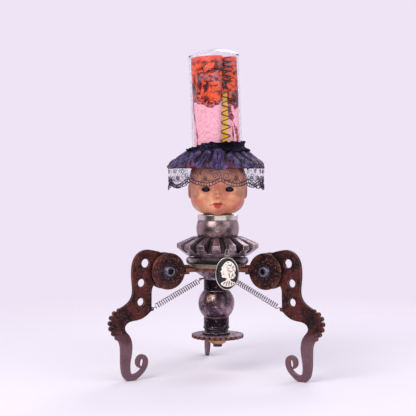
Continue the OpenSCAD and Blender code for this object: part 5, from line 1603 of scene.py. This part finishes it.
def make_neck_wire(material):
    """Thin wire round the neck, twisted together where it drops over the gear to the pendant's eye"""
    low_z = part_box("pendant_wire")[0].z
    wire = 0.4 * MM
    neck_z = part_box("neck_barrel")[0].z + wire + 0.2 * MM
    gear_low, gear_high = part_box("bevel_gear")
    neck_r = NECK_R + wire + 0.1 * MM
    gear_r, gear_top_r = gear_high.x - AXIS.x, 36.3 * MM
    lip_z = gear_low.z + (gear_high.z - gear_low.z) * 0.66
    x, y = BAIL.x - AXIS.x, BAIL.y - AXIS.y
    loop = []
    for i in range(61):
        angle = math.radians(284 + 352 * i / 60)
        loop.append(Vector((neck_r * math.cos(angle), neck_r * math.sin(angle), neck_z)))
    drop = [loop[-1], Vector((x * 0.5, -neck_r - 1.2 * MM, neck_z + 0.6 * MM)),
            Vector((x * 0.6, -gear_top_r - 1 * MM, gear_high.z + 0.8 * MM)),
            Vector((x * 0.75, -(gear_top_r + gear_r) / 2 - 1 * MM, (gear_high.z + lip_z) / 2 + 1 * MM)),
            Vector((x * 0.95, y + 1.2 * MM, lip_z + 1 * MM)), Vector((x - 0.1 * MM, y, lip_z - 1 * MM))]
    eye_r = 1.4 * MM
    eye_z = low_z + eye_r + wire
    line = []
    for a, b in zip(drop, drop[1:]):
        line += [a.lerp(b, k / 6) for k in range(6)]
    line.append(drop[-1])
    twisted = []
    for i, point in enumerate(line):
        turn = TURN * i / 7
        twisted.append(point + 0.45 * MM * Vector((math.cos(turn), 0, 0.3 * math.sin(turn))))
    other = [2 * p - q for p, q in zip(line, twisted)]
    eye = [Vector((x + 0.5 * MM - i / 24 * MM, y + eye_r * math.cos(a), eye_z + eye_r * math.sin(a)))
           for i, a in ((i, math.radians(90 + 345 * i / 24)) for i in range(25))]
    paths = [loop + twisted[1:] + eye, other[2:]]
    made = wires("neck_wire", [[AXIS + p for p in path] for path in paths], wire * 0.85, material)
    stands_for(made, "pendant_wire")


# Metal parts

# Pieces with rounded edges: node, slot, metal and width of the rounding in millimetres
ROUNDED = [
    ("end_nut", "pipe_steel", "pipe", 0.3), ("brass_cap", "old_brass", "brass", 0.4),
    ("sprocket", "sprocket_rust", "sprocket", 0.4), ("fluted_collar", "collar_steel", "collar", 0.35),
    ("hub_plate", "hub_rust", "hub", 0.6), ("tin_lid", "lid_tin", "lid", 0.4),
    ("lobed_spacer", "lobe_steel", "lobes", 0.6), ("bevel_gear", "gear_steel", "gear", 1.1),
]
# Pieces that keep the form of their solid, with their metal
KEPT = {
    "turned_post": "post", "ribbed_disc": "ribs", "neck_barrel": "barrel", "neck_band": "band",
    "lock_nut": "pipe", "centre_pipe": "pipe", "top_nut": "band",
}


def dress_metal():
    """Rounds the metal pieces' edges, and gives those that stay as they are their material"""
    rounded, kept = list(ROUNDED), dict(KEPT)
    for leg in LEG_NAMES:
        rounded += [
            (f"leg_{leg}", "rusty_plate", "plate", 0.9),
            (f"front_disc_{leg}", "dark_washer", "washer", 0.35),
            (f"back_disc_{leg}", "dark_washer", "washer", 0.35),
            (f"cone_nuts_{leg}", "nut_steel", "nut", 0.35),
        ]
        kept |= {f"spacer_{leg}": "washer", f"shoulder_pipe_{leg}": "pipe"}
    for node, slot, metal, width in rounded:
        softened(node, METALS[metal], width * MM)
    for node, metal in kept.items():
        NODES[node].data.materials[0] = METALS[metal]


# Stage

PHOTO_PIXELS = 416
FOCAL_PIXELS = 1015.0
CAMERA_BACK, CAMERA_UP = 1416.98 * MM, 276.64 * MM
# Pixels from the picture's middle to the horizon and to the post's axis
HORIZON_ABOVE, AXIS_RIGHT = 33.5, 9.7
BACKDROP = rgb(238, 228, 245)
FLOOR = rgb(250, 245, 253)


def make_camera():
    """The photo's camera, from its measured height, distance and focal length"""
    camera = bpy.data.cameras.new("camera")
    camera.sensor_width = 36.0
    camera.lens = FOCAL_PIXELS * camera.sensor_width / PHOTO_PIXELS
    holder = linked("camera", camera)
    holder.location = AXIS + Vector((0, -CAMERA_BACK, CAMERA_UP))
    down, left = math.atan(HORIZON_ABOVE / FOCAL_PIXELS), math.atan(AXIS_RIGHT / FOCAL_PIXELS)
    holder.rotation_euler = (math.pi / 2 - down, 0, left)
    bpy.context.scene.camera = holder


def make_floor():
    """A pale floor that fades into the backdrop, and keeps the object's shadow"""
    material, net = bare_material("pale floor")
    place = net.object_place()
    matt = net.node("ShaderNodeBsdfDiffuse", {"Color": FLOOR})
    clear = net.node("ShaderNodeBsdfTransparent")
    away = net.node("ShaderNodeVectorMath", {0: place}, operation="LENGTH").outputs["Value"]
    fade = net.span(away, 0.34, 0.95)
    path = net.node("ShaderNodeLightPath").outputs
    seen = net.most(path["Is Camera Ray"], path["Is Glossy Ray"])
    seen = net.most(seen, path["Is Transmission Ray"])
    shares = {0: net.times(fade, seen), 1: matt.outputs[0], 2: clear.outputs[0]}
    mixed = net.node("ShaderNodeMixShader", shares)
    net.node("ShaderNodeOutputMaterial", {"Surface": mixed.outputs[0]})
    bm = bmesh.new()
    bmesh.ops.create_circle(bm, cap_ends=True, segments=96, radius=1.0)
    made = finished("floor", bm, material, recalculate=False)


def make_lamp(name, place, target, size, power, colour=(1, 1, 1)):
    """A rectangular lamp that shines at the target, and isn't seen through the glass"""
    lamp = bpy.data.lights.new(name, "AREA")
    lamp.shape = "RECTANGLE"
    lamp.size, lamp.size_y = size
    lamp.energy = power
    lamp.color = colour
    holder = linked(name, lamp)
    holder.location = place
    holder.rotation_euler = (Vector(target) - Vector(place)).to_track_quat("-Z", "Y").to_euler()
    holder.visible_transmission = False


# How bright the room is that metal and glass mirror, by share of the way round from the front to the back
ROOM_BRIGHTNESS = [
    (0.0, 0.16), (0.14, 0.1), (0.26, 0.05), (0.36, 0.1), (0.48, 0.8), (0.62, 1.0), (0.8, 0.8), (1.0, 1.0),
]


def make_world():
    """A pale room: the backdrop is seen as it is, and metal mirrors darker and paler parts of the room"""
    world = bpy.data.worlds.new("room")
    bpy.context.scene.world = world
    world.use_nodes = True
    world.node_tree.nodes.clear()
    net = Net(world.node_tree)
    way = net.node("ShaderNodeTexCoord").outputs["Generated"]
    x, y, z = net.axes(way)
    turn = net.math("ARCTAN2", x, net.times(y, -1))
    round_share = net.math("DIVIDE", net.math("ABSOLUTE", turn), math.pi)
    bands = net.ramp(round_share, [(place, (level, level, level, 1)) for place, level in ROOM_BRIGHTNESS])
    bands = net.mix(net.span(z, 0.4, 0.9), bands, (0.7, 0.7, 0.7, 1))
    room = net.mix(1.0, bands, BACKDROP, "MULTIPLY")
    path = net.node("ShaderNodeLightPath").outputs
    seen = net.most(path["Is Camera Ray"], path["Is Transmission Ray"])
    lights = ((BACKDROP, 1.0), (rgb(240, 236, 250), 0.6), (room, 1.0))
    plain, soft, shiny = (
        net.node("ShaderNodeBackground", {"Color": colour, "Strength": power}).outputs[0]
        for colour, power in lights
    )
    lit = net.node("ShaderNodeMixShader", {0: path["Is Glossy Ray"], 1: soft, 2: shiny}).outputs[0]
    all_rays = net.node("ShaderNodeMixShader", {0: seen, 1: lit, 2: plain}).outputs[0]
    net.node("ShaderNodeOutputWorld", {"Surface": all_rays})


def make_stage():
    scene = bpy.context.scene
    scene.view_settings.view_transform = "Standard"
    make_floor()
    make_world()
    make_lamp("key", (-1.0, -1.4, 1.3), (0, 0, 0.24), (1.3, 1.3), 22.0, (1.0, 0.98, 0.95))
    make_lamp("fill", (1.5, -1.1, 0.9), (0, 0, 0.22), (1.2, 1.4), 7.0, (0.96, 0.96, 1.0))
    make_lamp("low front", (0.45, -1.9, 0.3), (0, 0, 0.26), (2.4, 1.2), 8.0, (1.0, 0.99, 0.97))
    make_lamp("rim", (0.6, 1.4, 1.3), (0, 0, 0.25), (1.2, 0.9), 10.0)


# The object

def main():
    make_camera()
    ruffle = make_ruffle(satin_material())
    make_lace(ruffle, lace_material(), cord_material())
    make_elastic(elastic_material())
    make_jar(glass_material())
    make_print(print_material(PAPER_H))
    make_jar_spring()
    for leg in LEG_NAMES:
        make_leg_spring(leg)
    make_head(skin_material())
    make_eyes()
    make_bezel(METALS["silver"])
    black = cameo_material("cameo black", rgb(24, 20, 32), rgb(12, 10, 18), 0.2)
    make_ground(black)
    make_relief(cameo_material("cameo ivory", rgb(246, 238, 228), rgb(226, 212, 198), 0.38), black)
    make_bail(METALS["silver"])
    make_pendant_loop(METALS["silver"])
    make_neck_wire(METALS["wire"])
    dress_metal()
    NODES["crown_disc"].data.materials[0] = wood_material("crown wood", rgb(96, 66, 52), rgb(58, 38, 32))
    NODES["neck_plug"].data.materials[0] = wood_material("plug wood", rgb(170, 132, 96), rgb(120, 88, 60))
    make_stage()


main()
